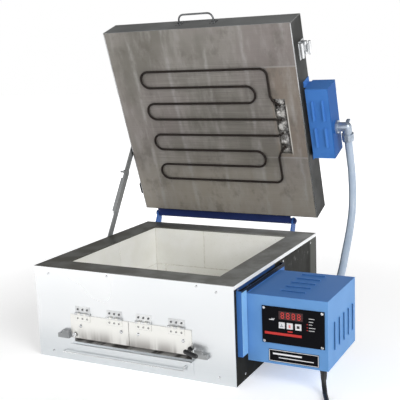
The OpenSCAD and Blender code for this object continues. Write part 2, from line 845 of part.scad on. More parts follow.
module circuit_board() {
    board_y = box_y + 12;
    color("#1f5a34") {
        translate([plate_x + 12, board_y, plate_z + 12]) cube([plate_w - 24, 1.6, plate_h - 24]);
        for (x = [14, plate_w - 22], z = [14, plate_h - 20])
            translate([plate_x + x, box_y, plate_z + z]) cube([7, board_y - box_y + eps, 6]);
    }
}

module relay() {
    color("#d9dde2") translate([box_x + sheet_t, box_y + 130, box_z + 60]) {
        cube([4, 56, 70]);
        translate([4, 6, 6]) cube([38, 44, 52]);
        for (y = [14, 28, 42]) translate([42, y - 3, 20]) cube([8, 1, 22]);
    }
}

module key(i) {
    stem = 6;
    proud = key_travel + 0.6;
    color("#e8e8ea") {
        translate([key_x[i], key_plate_y - proud, key_z]) cube([key_s, proud + plate_t, key_s]);
        translate([key_x[i] + key_s / 2 - 2, key_plate_y, key_z + key_s / 2 - 2])
            cube([4, plate_t + stem, 4]);
    }
}

module key_1() { key(0); }

module key_2() { key(1); }

module key_3() { key(2); }

gland_x = 467;
gland_y = -224;

module cord_gland() {
    color(c_black) translate([gland_x, gland_y, 0]) difference() {
        union() {
            translate([0, 0, box_z + sheet_t]) cylinder(h = 8, d = 22);
            translate([0, 0, box_z - 1]) cylinder(h = 6, d = 17.6);
            translate([0, 0, box_z - 4]) cylinder(h = 4, d = 20);
        }
        translate([0, 0, box_z - 10]) cylinder(h = 30, d = cord_d);
    }
}

socket_x = 392;
socket_z = 112;

module conduit_socket() {
    color("#c3cede") translate([socket_x, box_y1, socket_z]) rotate([-90, 0, 0]) {
        translate([0, 0, -4]) cylinder(h = 4, d = 21.6);
        cylinder(h = 5, d = 36, $fn = 8);
        translate([0, 0, 5]) cylinder(h = 14, d = 28);
        translate([0, 0, 19]) cylinder(h = 10, d = 33, $fn = 10);
    }
}

// Probe through the right wall; its head is in the space behind the control box
module thermocouple() {
    head_d = 18;
    head_l = 9;
    color("#b7a98c") translate([half_w, probe_y, probe_z]) rotate([0, 90, 0]) {
        translate([0, 0, in_x - half_w - probe_reach])
            cylinder(h = half_w - in_x + probe_reach + 1, d = probe_d);
        cylinder(h = 2, d = head_d + 6);
        cylinder(h = head_l, d = head_d);
    }
}

// Front hardware

knuckle_d = 6;
hinge_x = [-137, -43, 40, 130];
leaf_t = 1.2;
leaf_h = 19;
knuckles = 5;
hinge_pin_d = 2.5;
knuckle_l = leaf_l / knuckles;
knuckle_gap = 0.3;

module knuckle(x, i, bore) {
    translate([x - leaf_l / 2 + i * knuckle_l + knuckle_gap / 2, 0, 0]) rotate([0, 90, 0])
        difference() {
            cylinder(h = knuckle_l - knuckle_gap, d = knuckle_d);
            if (bore) translate([0, 0, -1]) cylinder(h = knuckle_l + 2, d = hinge_pin_d + 2 * run_fit);
        }
}

leaf_screws = [-14, 0, 14];

module door_hinge_leaves() {
    wall_y = -half_d - door_axis_y;
    color(c_steel) translate(door_axis) for (x = hinge_x) {
        translate([x - leaf_l / 2, wall_y - leaf_t, 1.8]) cube([leaf_l, leaf_t, leaf_h - 1.8]);
        for (i = [0, 2, 4]) {
            knuckle(x, i, false);
            translate([x - leaf_l / 2 + i * knuckle_l + knuckle_gap / 2, 0, 1.8])
                cube([knuckle_l - knuckle_gap, wall_y, leaf_t]);
        }
        translate([x - leaf_l / 2, 0, 0]) rotate([0, 90, 0]) cylinder(h = leaf_l, d = hinge_pin_d);
        for (dx = leaf_screws) translate([x + dx, wall_y - leaf_t, 11]) facing("-y") pan_screw(5.5, 1.4);
    }
}

// Door panel with its hinge leaves; x0 is the door's left edge and hinges lists its hinge places
module door(x0, hinges) {
    face_y = -half_d - 0.4 - door_t;
    door_bottom = door_top - door_h;
    lift = face_y - door_axis_y;
    translate([x0, face_y, door_bottom]) cube([door_w, door_t, door_h]);
    translate([0, door_axis_y, door_hinge_z]) for (x = hinges) {
        translate([x - leaf_l / 2, lift - leaf_t, -leaf_h]) cube([leaf_l, leaf_t, leaf_h - 3.4]);
        for (i = [1, 3]) {
            knuckle(x, i, true);
            translate([x - leaf_l / 2 + i * knuckle_l + knuckle_gap / 2, lift - leaf_t, -4])
                cube([knuckle_l - knuckle_gap, leaf_t, 4 - hinge_pin_d / 2 - 0.3]);
        }
    }
    translate([0, door_axis_y + lift - leaf_t, door_hinge_z - 12]) for (x = hinges, dx = leaf_screws)
        translate([x + dx, 0, 0]) facing("-y") pan_screw(5.5, 1.4);
}

left_x0 = -door_w - door_mid_gap - 2.4;
right_x0 = -2.4;

module left_door() { color(c_steel) door(left_x0, [hinge_x[0], hinge_x[1]]); }

module right_door() { color(c_steel) door(right_x0, [hinge_x[2], hinge_x[3]]); }

module door_block(x0) {
    side = 12;
    color(c_brick) translate([x0 + side, -half_d - 0.4, slot_z0 + 11])
        cube([door_w - 2 * side, 28, slot_z1 - slot_z0 - 13.5]);
}

module left_door_block() { door_block(left_x0); }

module right_door_block() { door_block(right_x0); }

module door_studs(xs) {
    color(c_chrome) for (x = xs) translate([x, -half_d - 0.4 - door_t, 95]) facing("-y") {
        cylinder(h = 1, d = 9);
        translate([0, 0, 1]) intersection() {
            cylinder(h = 3, d = 7.5);
            translate([0, 0, -2.5]) sphere(r = 5);
        }
    }
}

module left_door_studs() { door_studs([-144.9, -24.6]); }

module right_door_studs() { door_studs([23.5, 146.9]); }

module door_knob() {
    color(c_chrome) translate([-163.8, -half_d - 0.4 - door_t, 70.8]) rotate([90, 0, 0]) {
        cylinder(h = 4, d = 5);
        translate([0, 0, 4]) rotate_extrude() translate([4.5, 0]) circle(r = 1.6, $fn = 24);
        translate([0, 0, 3]) cylinder(h = 2, d = 9.5);
    }
}

// Bar with round ends from point a to point b
module round_bar(a, b, d) {
    v = b - a;
    l = norm(v);
    translate(a) rotate([0, acos(v[2] / l), atan2(v[1], v[0])]) rotate_extrude() intersection() {
        union() {
            circle(d = d);
            translate([0, l]) circle(d = d);
            translate([-d / 2, 0]) square([d, l]);
        }
        translate([0, -d]) square([d, l + 2 * d]);
    }
}

module door_lever() {
    face = -half_d - 0.4 - door_t;
    a = [163, face - 21, 78.5];
    b = [190, face - 22, 71.5];
    foot = [165, face, 78];
    color(c_black) {
        translate(foot) rotate([90, 0, 0]) cylinder(h = 3, d = 12);
        translate(foot) rotate([90, 0, 0]) cylinder(h = 21, d = 6);
        round_bar(a, b, 11);
    }
}

module mandrel_rest() {
    half_l = 171;
    out = 15;
    color(c_steel) translate([-half_l, 0, 0]) rotate([90, 0, 90]) linear_extrude(2 * half_l) polygon([
        [-half_d, 15], [-half_d, ledge_z], [-half_d - out, ledge_z], [-half_d - out, ledge_z + 3],
        [-half_d - out - 1.5, ledge_z + 3], [-half_d - out - 1.5, ledge_z - 1.5],
        [-half_d - 1.5, ledge_z - 1.5], [-half_d - 1.5, 15]]);
}

module rest_brackets() {
    color(c_arm) for (s = [-1, 1]) translate([s * 179, -half_d, 60]) mirror([s < 0 ? 1 : 0, 0, 0])
        rotate([90, 0, 0]) linear_extrude(10) polygon([
            [0, 0], [33, 0], [33, 11], [20, 11], [20, 20], [0, 20]]);
}

module rest_wire() {
    wire = 3;
    out = 9;
    y = -half_d - out;
    z = 23;
    x0 = -200;
    x1 = 148;
    color(c_steel) {
        rod([x0, y, z], [x1, y, z], wire);
        rod([x0, y, z], [x0, -half_d, z], wire);
        rod([x1, y, z], [x1 + 3, y, z + 12], wire);
        rod([x1 + 3, y, z + 12], [x1 + 3, -half_d - 1.5, z + 12], wire);
        for (p = [[x0, y, z], [x1, y, z], [x1 + 3, y, z + 12]]) translate(p) sphere(d = wire + 0.4);
    }
}

// Conduit from the elbow to the control box

conduit_points = [
    [383, 278, 455], [384, 286, 425], [384, 291, 395], [385, 292, 365], [386, 288, 335],
    [387, 278, 307], [388, 262, 280], [389, 243, 255], [390, 221, 231], [391, 198, 207],
    [392, 177, 184], [392, 156, 162], [392, 134, 142], [392, 110, 127], [392, 84, 117],
    [392, 55, 113], [392, 28, 112], [392, 8, 112]];
elbow_drop = 41;
seat_air = 0.1;
conduit_start = [for (u = [elbow_u - elbow_drop - seat_air, elbow_u - elbow_drop - 22])
    lid_point([tbox_x + tbox_w + elbow_out, elbow_d, u])];
conduit_end = [socket_x, box_y1 + 29, socket_z];

module conduit() {
    color(c_conduit) tube_sweep(concat(conduit_start, conduit_points, [conduit_end]),
        conduit_d, 12, [1, 0, 0]);
}

// Mains lead

lead_points = [
    [467, -224, 56], [467, -224, 50], [468, -225, 39], [469, -229, 28], [472, -236, 19],
    [476, -244, 12], [480, -254, 7.5], [485, -264, 6], [493, -282, 5.7], [501, -301, 5.7],
    [509, -319, 5.7], [517, -338, 5.7], [525, -356, 5.8], [533, -374, 6.4]];
lead_dir = unit([62, -143, 0]);
coil_side = [lead_dir[1], -lead_dir[0]];
coil_start = [547, -407];
coil_centre = coil_start + coil_r * coil_side;
coil_pitch = cord_d + 1.2;
layer_rise = cord_d + 0.6;
coil_z = cord_d / 2 + 1.4;
coil_a0 = atan2(-coil_side[1], -coil_side[0]);
coil_steps = 24;

// The spiral goes in for the first half of its turns and out again on a second layer
function coil_climb(t) = max(0, min(1, (t - coil_turns / 2 + 0.25) * 2));
function coil_point(t) = let(
        h = coil_turns / 2,
        r = coil_r - coil_pitch * (t < h ? t : 2 * h - t),
        a = coil_a0 - 360 * t)
    [coil_centre[0] + r * cos(a), coil_centre[1] + r * sin(a), coil_z + layer_rise * coil_climb(t)];

coil_in = coil_point(0) - cord_d * lead_dir;
coil_out = coil_point(coil_turns) + cord_d * lead_dir;
coil_turn_points = [for (i = [0 : coil_turns * coil_steps]) coil_point(i / coil_steps)];
coil_path = concat([coil_in], coil_turn_points, [coil_out]);

// Least gap between the turns, measured between points at least half a turn apart
coil_last = coil_turns * coil_steps;
coil_gap = min([for (i = [0 : coil_last], j = [i + coil_steps / 2 : 1 : coil_last])
    norm(coil_turn_points[i] - coil_turn_points[j])]) - cord_d;

tail_points = [
    [556, -428, 18.1], [561, -440, 16.6], [566, -451.5, 14.4], [571, -463, 12.6],
    [575.4, -473, 12], [580, -483.5, 12]];

lead_path = concat(lead_points, [coil_in]);
tail_path = concat([coil_out], tail_points);
function path_length(p) = len(p) < 2 ? 0
    : norm(p[1] - p[0]) + path_length([for (i = [1 : len(p) - 1]) p[i]]);
echo(str("least gap between the coil's turns: ", coil_gap, " mm"));
echo(str("length of the lead: ", path_length(lead_path) + path_length(coil_path)
    + path_length(tail_path), " mm"));

module mains_lead() {
    color(c_black) tube_sweep(lead_path, cord_d, 8, [-lead_dir[1], lead_dir[0], 0]);
}

module cord_coil() {
    color(c_black) tube_sweep(coil_path, cord_d, 6, [0, 0, 1]);
}

module lead_tail() {
    color(c_black) tube_sweep(tail_path, cord_d, 8, [-lead_dir[1], lead_dir[0], 0]);
}

// Strap round the four turns on the far side of the coil
module coil_tie() {
    strap_t = 1.1;
    strap_w = 14;
    slack = 1.4;
    half = coil_pitch / 2 + cord_d / 2 + slack;
    top = coil_z + layer_rise + cord_d / 2 + 0.3;
    color("#2b2b2e") translate([coil_centre[0], coil_centre[1], 0]) rotate([0, 0, coil_a0 - 180])
        translate([coil_r - coil_pitch, -strap_w / 2, 0]) rotate([-90, 0, 0]) mirror([0, 1, 0])
            linear_extrude(strap_w) difference() {
                translate([-half - strap_t, 0]) square([2 * (half + strap_t), top + strap_t]);
                translate([-half, strap_t]) square([2 * half, top - strap_t]);
            }
}

module plug() {
    body_l = 34;
    body_w = 28;
    body_h = 24;
    grip_l = 16;
    blade_gap = 12.7;
    a = tail_points[len(tail_points) - 1];
    d = a - tail_points[len(tail_points) - 2];
    translate([a[0], a[1], 0]) rotate([0, 0, atan2(d[1], d[0])]) {
        color(c_black) {
            translate([0, 0, body_h / 2]) rotate([0, 90, 0])
                cylinder(h = grip_l + 1, d1 = cord_d + 3, d2 = 20);
            translate([grip_l, 0, 0]) linear_extrude(body_h) polygon([
                [0, -9], [body_l - 8, -body_w / 2], [body_l, -body_w / 2],
                [body_l, body_w / 2], [body_l - 8, body_w / 2], [0, 9]]);
        }
        color(c_chrome) translate([grip_l + body_l, 0, body_h / 2]) {
            for (s = [-1, 1]) translate([0, s * blade_gap / 2 - 0.75, -4]) cube([18, 1.5, 6.3]);
            translate([0, 0, 7]) rotate([0, 90, 0]) cylinder(h = 20, d = 4.8);
        }
    }
}

bottom_pan();
base_board();
floor_bricks();
wall_bricks();
front_panel();
case_wrap();
rim_trim();
case_screws();
hinge_posts();
hinge_rod();
stay_post();
door_hinge_leaves();
mandrel_rest();
rest_brackets();
rest_wire();
latch_keeper();
spacer_bracket();
control_cover();
control_chassis();
controller_plate();
display();
circuit_board();
relay();
cord_gland();
conduit_socket();
thermocouple();
left_door();
left_door_block();
left_door_studs();
door_knob();
right_door();
right_door_block();
right_door_studs();
door_lever();
key_1();
key_2();
key_3();
lid_shell();
lid_liner();
lid_insulation();
element_upper();
element_lower();
terminal_wool();
lid_handle();
lid_hinge();
stay_bracket();
lid_bumper();
latch_base();
latch_lever();
terminal_cover();
terminal_brackets();
elbow_fitting();
lower_arm();
upper_arm();
conduit();
mains_lead();
cord_coil();
lead_tail();
coil_tie();
plug();
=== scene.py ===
import math

import bmesh
import bpy
from mathutils import Matrix, Vector, noise


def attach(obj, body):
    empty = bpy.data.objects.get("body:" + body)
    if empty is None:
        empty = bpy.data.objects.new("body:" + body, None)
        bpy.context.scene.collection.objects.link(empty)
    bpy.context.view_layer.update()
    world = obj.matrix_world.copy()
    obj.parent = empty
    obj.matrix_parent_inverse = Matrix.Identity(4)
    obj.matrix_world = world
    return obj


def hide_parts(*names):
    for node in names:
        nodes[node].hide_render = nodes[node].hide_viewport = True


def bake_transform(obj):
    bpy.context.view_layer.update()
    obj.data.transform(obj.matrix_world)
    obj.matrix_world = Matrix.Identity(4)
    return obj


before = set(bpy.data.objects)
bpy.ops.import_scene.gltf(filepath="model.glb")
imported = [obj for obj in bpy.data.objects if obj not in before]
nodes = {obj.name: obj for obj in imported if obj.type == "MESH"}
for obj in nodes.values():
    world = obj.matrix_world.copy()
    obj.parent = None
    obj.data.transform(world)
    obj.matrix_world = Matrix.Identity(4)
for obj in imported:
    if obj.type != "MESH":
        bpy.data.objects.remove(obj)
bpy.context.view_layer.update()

mm = 0.001


# Camera at the photograph's angle
cameraLook = {
    "right": (0.8896, 0.4551, -0.0382),
    "up": (-0.0471, 0.1746, 0.9835),
    "back": (0.4542, -0.8732, 0.1768),
    "location": (0.99165, -1.79631, 0.73870),
    "lens": 70.0,
    "sensor": 36,
}


def addCamera():
    data = bpy.data.cameras.new("camera")
    data.lens = cameraLook["lens"]
    data.sensor_width = cameraLook["sensor"]
    obj = bpy.data.objects.new("camera", data)
    bpy.context.scene.collection.objects.link(obj)
    axes = Matrix([cameraLook[side] for side in ("right", "up", "back")]).transposed()
    obj.matrix_world = Matrix.Translation(cameraLook["location"]) @ axes.to_4x4()
    bpy.context.scene.camera = obj


addCamera()


# Material building

def inner(tree, kind, **values):
    node = tree.nodes.new(kind)
    for key, value in values.items():
        if key == "sockets":
            for name, v in value.items():
                node.inputs[name].default_value = v
        else:
            setattr(node, key, value)
    return node


def group(name, outputs, build, inputs=()):
    tree = bpy.data.node_groups.new(name, "ShaderNodeTree")
    for socket, kind, default in inputs:
        item = tree.interface.new_socket(socket, in_out="INPUT", socket_type=kind)
        item.default_value = default
    for socket, kind in outputs:
        tree.interface.new_socket(socket, in_out="OUTPUT", socket_type=kind)
    entry = tree.nodes.new("NodeGroupInput")
    leave = tree.nodes.new("NodeGroupOutput")
    build(tree, entry, leave)
    return tree


# Give a socket a number or a colour, or link it to another node's output
def feed(tree, socket, value):
    if isinstance(value, (int, float)):
        socket.default_value = value
    elif isinstance(value, tuple):
        socket.default_value = (*value, 1.0)
    else:
        tree.links.new(value, socket)


def useGroup(tree, which, **values):
    node = inner(tree, "ShaderNodeGroup", node_tree=which)
    for name, value in values.items():
        feed(tree, node.inputs[name], value)
    return node


def objectVector(tree):
    return inner(tree, "ShaderNodeTexCoord").outputs["Object"]


def stretched(tree, scale):
    node = inner(tree, "ShaderNodeMapping", sockets={"Scale": scale})
    tree.links.new(objectVector(tree), node.inputs["Vector"])
    return node.outputs["Vector"]


def axesOf(tree, where):
    node = inner(tree, "ShaderNodeSeparateXYZ")
    tree.links.new(where, node.inputs[0])
    return node.outputs


def measured(tree, where, direction):
    node = inner(tree, "ShaderNodeVectorMath", operation="DOT_PRODUCT")
    tree.links.new(where, node.inputs[0])
    node.inputs[1].default_value = direction
    return node.outputs["Value"]


def noiseOf(tree, vector, scale, detail, rough):
    node = inner(tree, "ShaderNodeTexNoise",
                 sockets={"Scale": scale, "Detail": detail, "Roughness": rough})
    tree.links.new(vector, node.inputs["Vector"])
    return node.outputs["Fac"]


def ramp(tree, value, low, high, outLow=0.0, outHigh=1.0):
    node = inner(tree, "ShaderNodeMapRange", interpolation_type="SMOOTHSTEP",
                 sockets={"From Min": low, "From Max": high, "To Min": outLow, "To Max": outHigh})
    tree.links.new(value, node.inputs["Value"])
    return node.outputs["Result"]


# Range of a noise that is spread over a whole mask
middle = (0.3, 0.7)


# Mask from a noise of a scale, detail and roughness, with the range that is spread out
def cloudOf(tree, vector, settings, limits=middle):
    return ramp(tree, noiseOf(tree, vector, *settings), *limits)


def stretchedCloud(tree, look, name):
    return cloudOf(tree, stretched(tree, look[name + "Stretch"]), *look[name])


def mathNode(tree, operation, a, b=0.0):
    node = inner(tree, "ShaderNodeMath", operation=operation)
    for socket, value in zip(node.inputs, (a, b)):
        feed(tree, socket, value)
    return node.outputs[0]


def times(tree, a, b):
    return mathNode(tree, "MULTIPLY", a, b)


# Places of the mix node's sockets when it mixes colours
mixSockets = {"factor": 0, "first": 6, "second": 7, "result": 2}


def mixColour(tree, factor, first, second):
    node = inner(tree, "ShaderNodeMix", data_type="RGBA")
    for key, value in (("factor", factor), ("first", first), ("second", second)):
        feed(tree, node.inputs[mixSockets[key]], value)
    return node.outputs[mixSockets["result"]]


# A colour laid over another by a share of a mask
def over(tree, base, mask, share, colour):
    return mixColour(tree, times(tree, mask, share), base, colour)


def bumpOf(tree, height, strength, distance):
    node = inner(tree, "ShaderNodeBump", sockets={"Strength": strength, "Distance": distance})
    tree.links.new(height, node.inputs["Height"])
    return node.outputs["Normal"]


def between(tree, value, low, high, soft):
    return times(tree, ramp(tree, value, low - soft, low + soft),
                 ramp(tree, value, high + soft, high - soft))


def nearLine(tree, value, at, half):
    gap = mathNode(tree, "ABSOLUTE", mathNode(tree, "SUBTRACT", value, at))
    return ramp(tree, gap, half, 0.0)


def surface(tree, shader, colour, normal, rough=None):
    tree.links.new(colour, shader.inputs["Base Color"])
    tree.links.new(normal, shader.inputs["Normal"])
    if rough is not None:
        tree.links.new(rough, shader.inputs["Roughness"])


# Fine rolling lines of sheet steel, as a normal and a mask
linesLook = {"noise": (30.0, 6.0, 0.7), "bump": (0.06, 0.0004)}


def brushedBuild(tree, entry, leave):
    vector = entry.outputs["Vector"]
    lines = noiseOf(tree, vector, *linesLook["noise"])
    tree.links.new(bumpOf(tree, lines, *linesLook["bump"]), leave.inputs["Normal"])
    tree.links.new(ramp(tree, lines, *middle), leave.inputs["Mask"])


normalAndMask = (("Normal", "NodeSocketVector"), ("Mask", "NodeSocketFloat"))
brushed = group("brushedLines", normalAndMask, brushedBuild,
                (("Vector", "NodeSocketVector", (0, 0, 0)),))


def brushedAlong(tree, scale):
    return useGroup(tree, brushed, Vector=stretched(tree, scale)).outputs


# Orange peel of powder coat
peelLook = {"fine": (900.0, 2.0, 0.5), "bump": (0.10, 0.0005), "broad": (14.0, 3.0, 0.5)}


def peelBuild(tree, entry, leave):
    fine = noiseOf(tree, objectVector(tree), *peelLook["fine"])
    tree.links.new(bumpOf(tree, fine, *peelLook["bump"]), leave.inputs["Normal"])
    tree.links.new(cloudOf(tree, objectVector(tree), peelLook["broad"]), leave.inputs["Mask"])


peel = group("powderCoat", normalAndMask, peelBuild)

# Worn edges, where a rounded normal differs from the true one; on the doors the same mask gives
# dark edges, a painted shade
edgeLook = {"samples": 4, "noise": (90.0, 4.0, 0.6), "broken": (0.35, 0.65, 0.4, 1.0),
            "alike": (0.98, 0.80)}


def edgeBuild(tree, entry, leave):
    bevel = inner(tree, "ShaderNodeBevel", samples=edgeLook["samples"])
    tree.links.new(entry.outputs["Radius"], bevel.inputs["Radius"])
    geometry = inner(tree, "ShaderNodeNewGeometry")
    dot = inner(tree, "ShaderNodeVectorMath", operation="DOT_PRODUCT")
    tree.links.new(bevel.outputs[0], dot.inputs[0])
    tree.links.new(geometry.outputs["Normal"], dot.inputs[1])
    broken = cloudOf(tree, objectVector(tree), edgeLook["noise"], edgeLook["broken"])
    edge = ramp(tree, dot.outputs["Value"], *edgeLook["alike"])
    tree.links.new(times(tree, edge, broken), leave.inputs["Mask"])


edges = group("edgeWearAndShading", (("Mask", "NodeSocketFloat"),), edgeBuild,
              (("Radius", "NodeSocketFloat", 0.001),))


def edgeWearAndShade(tree, base, share, colour, radius=0.0012):
    wearAndShade = useGroup(tree, edges, Radius=radius)
    return over(tree, base, wearAndShade.outputs["Mask"], share, colour)


# Rolling lines and worn edges over a colour, with a roughness that follows a mask
def finishSheet(tree, shader, look, colour, mask):
    surface(tree, shader, edgeWearAndShade(tree, colour, look["wearAndShade"], look["wearAndShadeColour"]),
            brushedAlong(tree, look["grain"])["Normal"],
            ramp(tree, mask, 0.0, 1.0, *look["rough"]))


def material(name, rough, metal=0.0, build=None, colour=(0.5, 0.5, 0.5), spec=0.5):
    mat = bpy.data.materials.new(name)
    mat.use_nodes = True
    shader = mat.node_tree.nodes["Principled BSDF"]
    shader.inputs["Metallic"].default_value = metal
    shader.inputs["Roughness"].default_value = rough
    shader.inputs["Specular IOR Level"].default_value = spec
    shader.inputs["Base Color"].default_value = (*colour, 1.0)
    if build:
        build(mat.node_tree, shader)
    return mat


# Least and most of a roughness, as shares of the one given
roughSpread = (0.85, 1.2)

steelLook = {"cloud": (3.0, 0.5), "foot": (0.12, 0.02), "lineShare": 0.18,
             "wearAndShade": 0.5, "wearAndShadeColour": (0.85, 0.86, 0.87)}


def sheetSteel(name, light, dark, rough, along, patch=2.6, metal=1.0, spec=0.5, low=None):
    def build(tree, shader):
        lines = brushedAlong(tree, along)
        cloud = cloudOf(tree, objectVector(tree), (patch, *steelLook["cloud"]))
        base = mixColour(tree, cloud, light, dark)
        if low:
            height = axesOf(tree, objectVector(tree))["Z"]
            base = mixColour(tree, ramp(tree, height, *steelLook["foot"]), base, low)
        fine = over(tree, base, lines["Mask"], steelLook["lineShare"], dark)
        bright = edgeWearAndShade(tree, fine, steelLook["wearAndShade"], steelLook["wearAndShadeColour"])
        surface(tree, shader, bright, lines["Normal"],
                ramp(tree, cloud, 0.0, 1.0, *(rough * share for share in roughSpread)))
    return material(name, rough, metal, build, spec=spec)


paintLook = {"wearAndShade": 0.35, "lighter": 1.7, "paler": 0.08}


# Powder coat. A face gives a darker colour, a painted shade, and the limits on each axis where it
# starts
def paint(name, colour, shade, rough=0.38, spec=0.28, face=None):
    wearAndShadeColour = tuple(min(1.0, c * paintLook["lighter"] + paintLook["paler"]) for c in colour)

    def build(tree, shader):
        coat = useGroup(tree, peel).outputs
        base = mixColour(tree, coat["Mask"], colour, shade)
        if face:
            paintedShade, *limits = face
            axes = axesOf(tree, objectVector(tree))
            mask = 1.0
            for axis, start, end in limits:
                mask = times(tree, ramp(tree, axes[axis], start, end), mask)
            base = mixColour(tree, mask, base, paintedShade)
        surface(tree, shader, edgeWearAndShade(tree, base, paintLook["wearAndShade"], wearAndShadeColour), coat["Normal"])
    return material(name, rough, build=build, spec=spec)


plainLook = {"detail": 5.0, "rough": 0.6, "depth": 0.001}


def plain(name, colour, shade, rough, metal=0.0, scale=60.0, bump=0.05, spec=0.5):
    least, most = (min(1.0, rough * share) for share in roughSpread)

    def build(tree, shader):
        fine = noiseOf(tree, objectVector(tree), scale, plainLook["detail"], plainLook["rough"])
        surface(tree, shader, mixColour(tree, ramp(tree, fine, *middle), colour, shade),
                bumpOf(tree, fine, bump, plainLook["depth"]),
                ramp(tree, fine, *middle, least, most))
    return material(name, rough, metal, build, spec=spec)


def glow(name, colour, strength):
    mat = material(name, rough=0.4, colour=colour)
    shader = mat.node_tree.nodes["Principled BSDF"]
    shader.inputs["Emission Color"].default_value = (*colour, 1.0)
    shader.inputs["Emission Strength"].default_value = strength
    return mat


fineGrain = (10.0, 10.0, 10.0)
frontSteel = sheetSteel("frontSteel", (0.93, 0.935, 0.94), (0.82, 0.84, 0.855), 0.26,
                        (0.6, 1.0, 40.0), 1.6, low=(0.66, 0.69, 0.71))
shellSteel = sheetSteel("shellSteel", (0.050, 0.053, 0.052), (0.028, 0.027, 0.024), 0.45,
                        (1.0, 30.0, 30.0), 7.0, metal=0.3, spec=0.3)
armSteel = sheetSteel("armSteel", (0.37, 0.38, 0.385), (0.26, 0.27, 0.275), 0.42,
                      (1.0, 20.0, 1.0), 12.0, metal=0.35)
brightSteel = sheetSteel("brightSteel", (0.80, 0.81, 0.82), (0.55, 0.56, 0.57), 0.18,
                         fineGrain, 30.0)
leafSteel = sheetSteel("leafSteel", (0.80, 0.81, 0.81), (0.62, 0.63, 0.64), 0.3,
                       fineGrain, 30.0)
handleSteel = sheetSteel("handleSteel", (0.20, 0.205, 0.21), (0.12, 0.125, 0.13), 0.2,
                         fineGrain, 30.0, metal=0.8)
lipSteel = sheetSteel("lipSteel", (0.95, 0.955, 0.96), (0.88, 0.89, 0.90), 0.4,
                      (10.0, 1.0, 10.0), 30.0, metal=0.0)

# The control box's top is a darker blue than its sides, a painted shade
boxPaint = paint("boxPaint", (0.142, 0.325, 0.64), (0.122, 0.295, 0.60), 0.46, 0.14,
                 ((0.080, 0.225, 0.56), ("Z", 0.2128, 0.2136)))
# The terminal box's outer side is a deeper blue, a painted shade
terminalPaint = paint("terminalPaint", (0.066, 0.208, 0.56), (0.054, 0.182, 0.51), 0.46, 0.07,
                      ((0.014, 0.098, 0.340), ("X", 0.3532, 0.3542)))
# The bracket's plate above the control box is near black, a painted shadow for the gap beside the
# box
bracketPaint = paint("bracketPaint", (0.058, 0.19, 0.53), (0.05, 0.17, 0.49), 0.46, 0.14,
                     ((0.005, 0.006, 0.010), ("Z", 0.2150, 0.2158), ("Y", -0.2686, -0.2680)))
flangePaint = paint("flangePaint", (0.022, 0.075, 0.24), (0.018, 0.062, 0.20), 0.46, 0.14)
postPaint = paint("postPaint", (0.035, 0.13, 0.42), (0.03, 0.11, 0.36), 0.42)
hingePaint = paint("hingePaint", (0.018, 0.035, 0.15), (0.014, 0.028, 0.12), 0.42)
# A lighter copy of the bracket blue for its rounded edge and rivets, painted light
litEdgePaint = paint("litEdgePaint", (0.25, 0.50, 0.82), (0.22, 0.46, 0.78), 0.4)

blackPlastic = plain("blackPlastic", (0.012, 0.012, 0.013), (0.020, 0.020, 0.022), 0.34,
                     scale=300.0)
plateBlack = plain("plateBlack", (0.003, 0.003, 0.004), (0.006, 0.006, 0.008), 0.6,
                   scale=300.0, bump=0.02, spec=0.06)
rubber = plain("rubber", (0.010, 0.010, 0.011), (0.018, 0.018, 0.019), 0.46, scale=160.0)
keyPlastic = plain("keyPlastic", (0.78, 0.78, 0.80), (0.70, 0.70, 0.72), 0.4,
                   scale=200.0, bump=0.02)
lensPlastic = plain("lensPlastic", (0.035, 0.002, 0.003), (0.05, 0.003, 0.004), 0.22,
                    scale=80.0, bump=0.01)
boardGreen = plain("boardGreen", (0.02, 0.10, 0.04), (0.03, 0.14, 0.05), 0.45)
fittingMetal = plain("fittingMetal", (0.44, 0.50, 0.58), (0.34, 0.39, 0.46), 0.34, metal=0.7)
conduitSkin = plain("conduitSkin", (0.43, 0.51, 0.61), (0.37, 0.45, 0.56), 0.30,
                    scale=30.0, bump=0.03)
# Dark line along one side of the conduit, a painted shade
conduitShadeLine = plain("conduitShadeLine", (0.20, 0.25, 0.32), (0.16, 0.20, 0.26), 0.34,
                    scale=30.0, bump=0.03)
probeCeramic = plain("probeCeramic", (0.50, 0.43, 0.32), (0.42, 0.36, 0.27), 0.7)
blanket = plain("blanket", (0.30, 0.28, 0.25), (0.20, 0.185, 0.16), 0.95,
                scale=120.0, bump=0.5)
board = plain("board", (0.48, 0.45, 0.38), (0.40, 0.37, 0.31), 0.9, scale=90.0, bump=0.2)
screwDark = plain("screwDark", (0.17, 0.173, 0.175), (0.10, 0.10, 0.104), 0.4,
                  metal=0.6, scale=300.0)
tieFabric = plain("tieFabric", (0.02, 0.02, 0.022), (0.035, 0.035, 0.038), 0.8,
                  scale=900.0, bump=0.6)
elementSheath = plain("elementSheath", (0.009, 0.006, 0.005), (0.020, 0.014, 0.011), 0.55,
                      scale=70.0, bump=0.15, spec=0.2)
markGrey = plain("markGrey", (0.35, 0.37, 0.40), (0.30, 0.32, 0.35), 0.5)
markPink = material("markPink", rough=0.5, colour=(0.75, 0.24, 0.24))
markRed = material("markRed", rough=0.5, colour=(0.55, 0.02, 0.015))
markWhite = material("markWhite", rough=0.5, colour=(0.80, 0.80, 0.82))
digitRed = glow("digitRed", (0.55, 0.025, 0.02), 0.35)


# Open lid: its directions, and where its hinge edge and outer side lie on them
lidPlane = {"along": (0.0, -0.3299, 0.9440), "start": 0.17345,
            "out": (0.0, 0.9440, 0.3299), "outer": 0.43657}

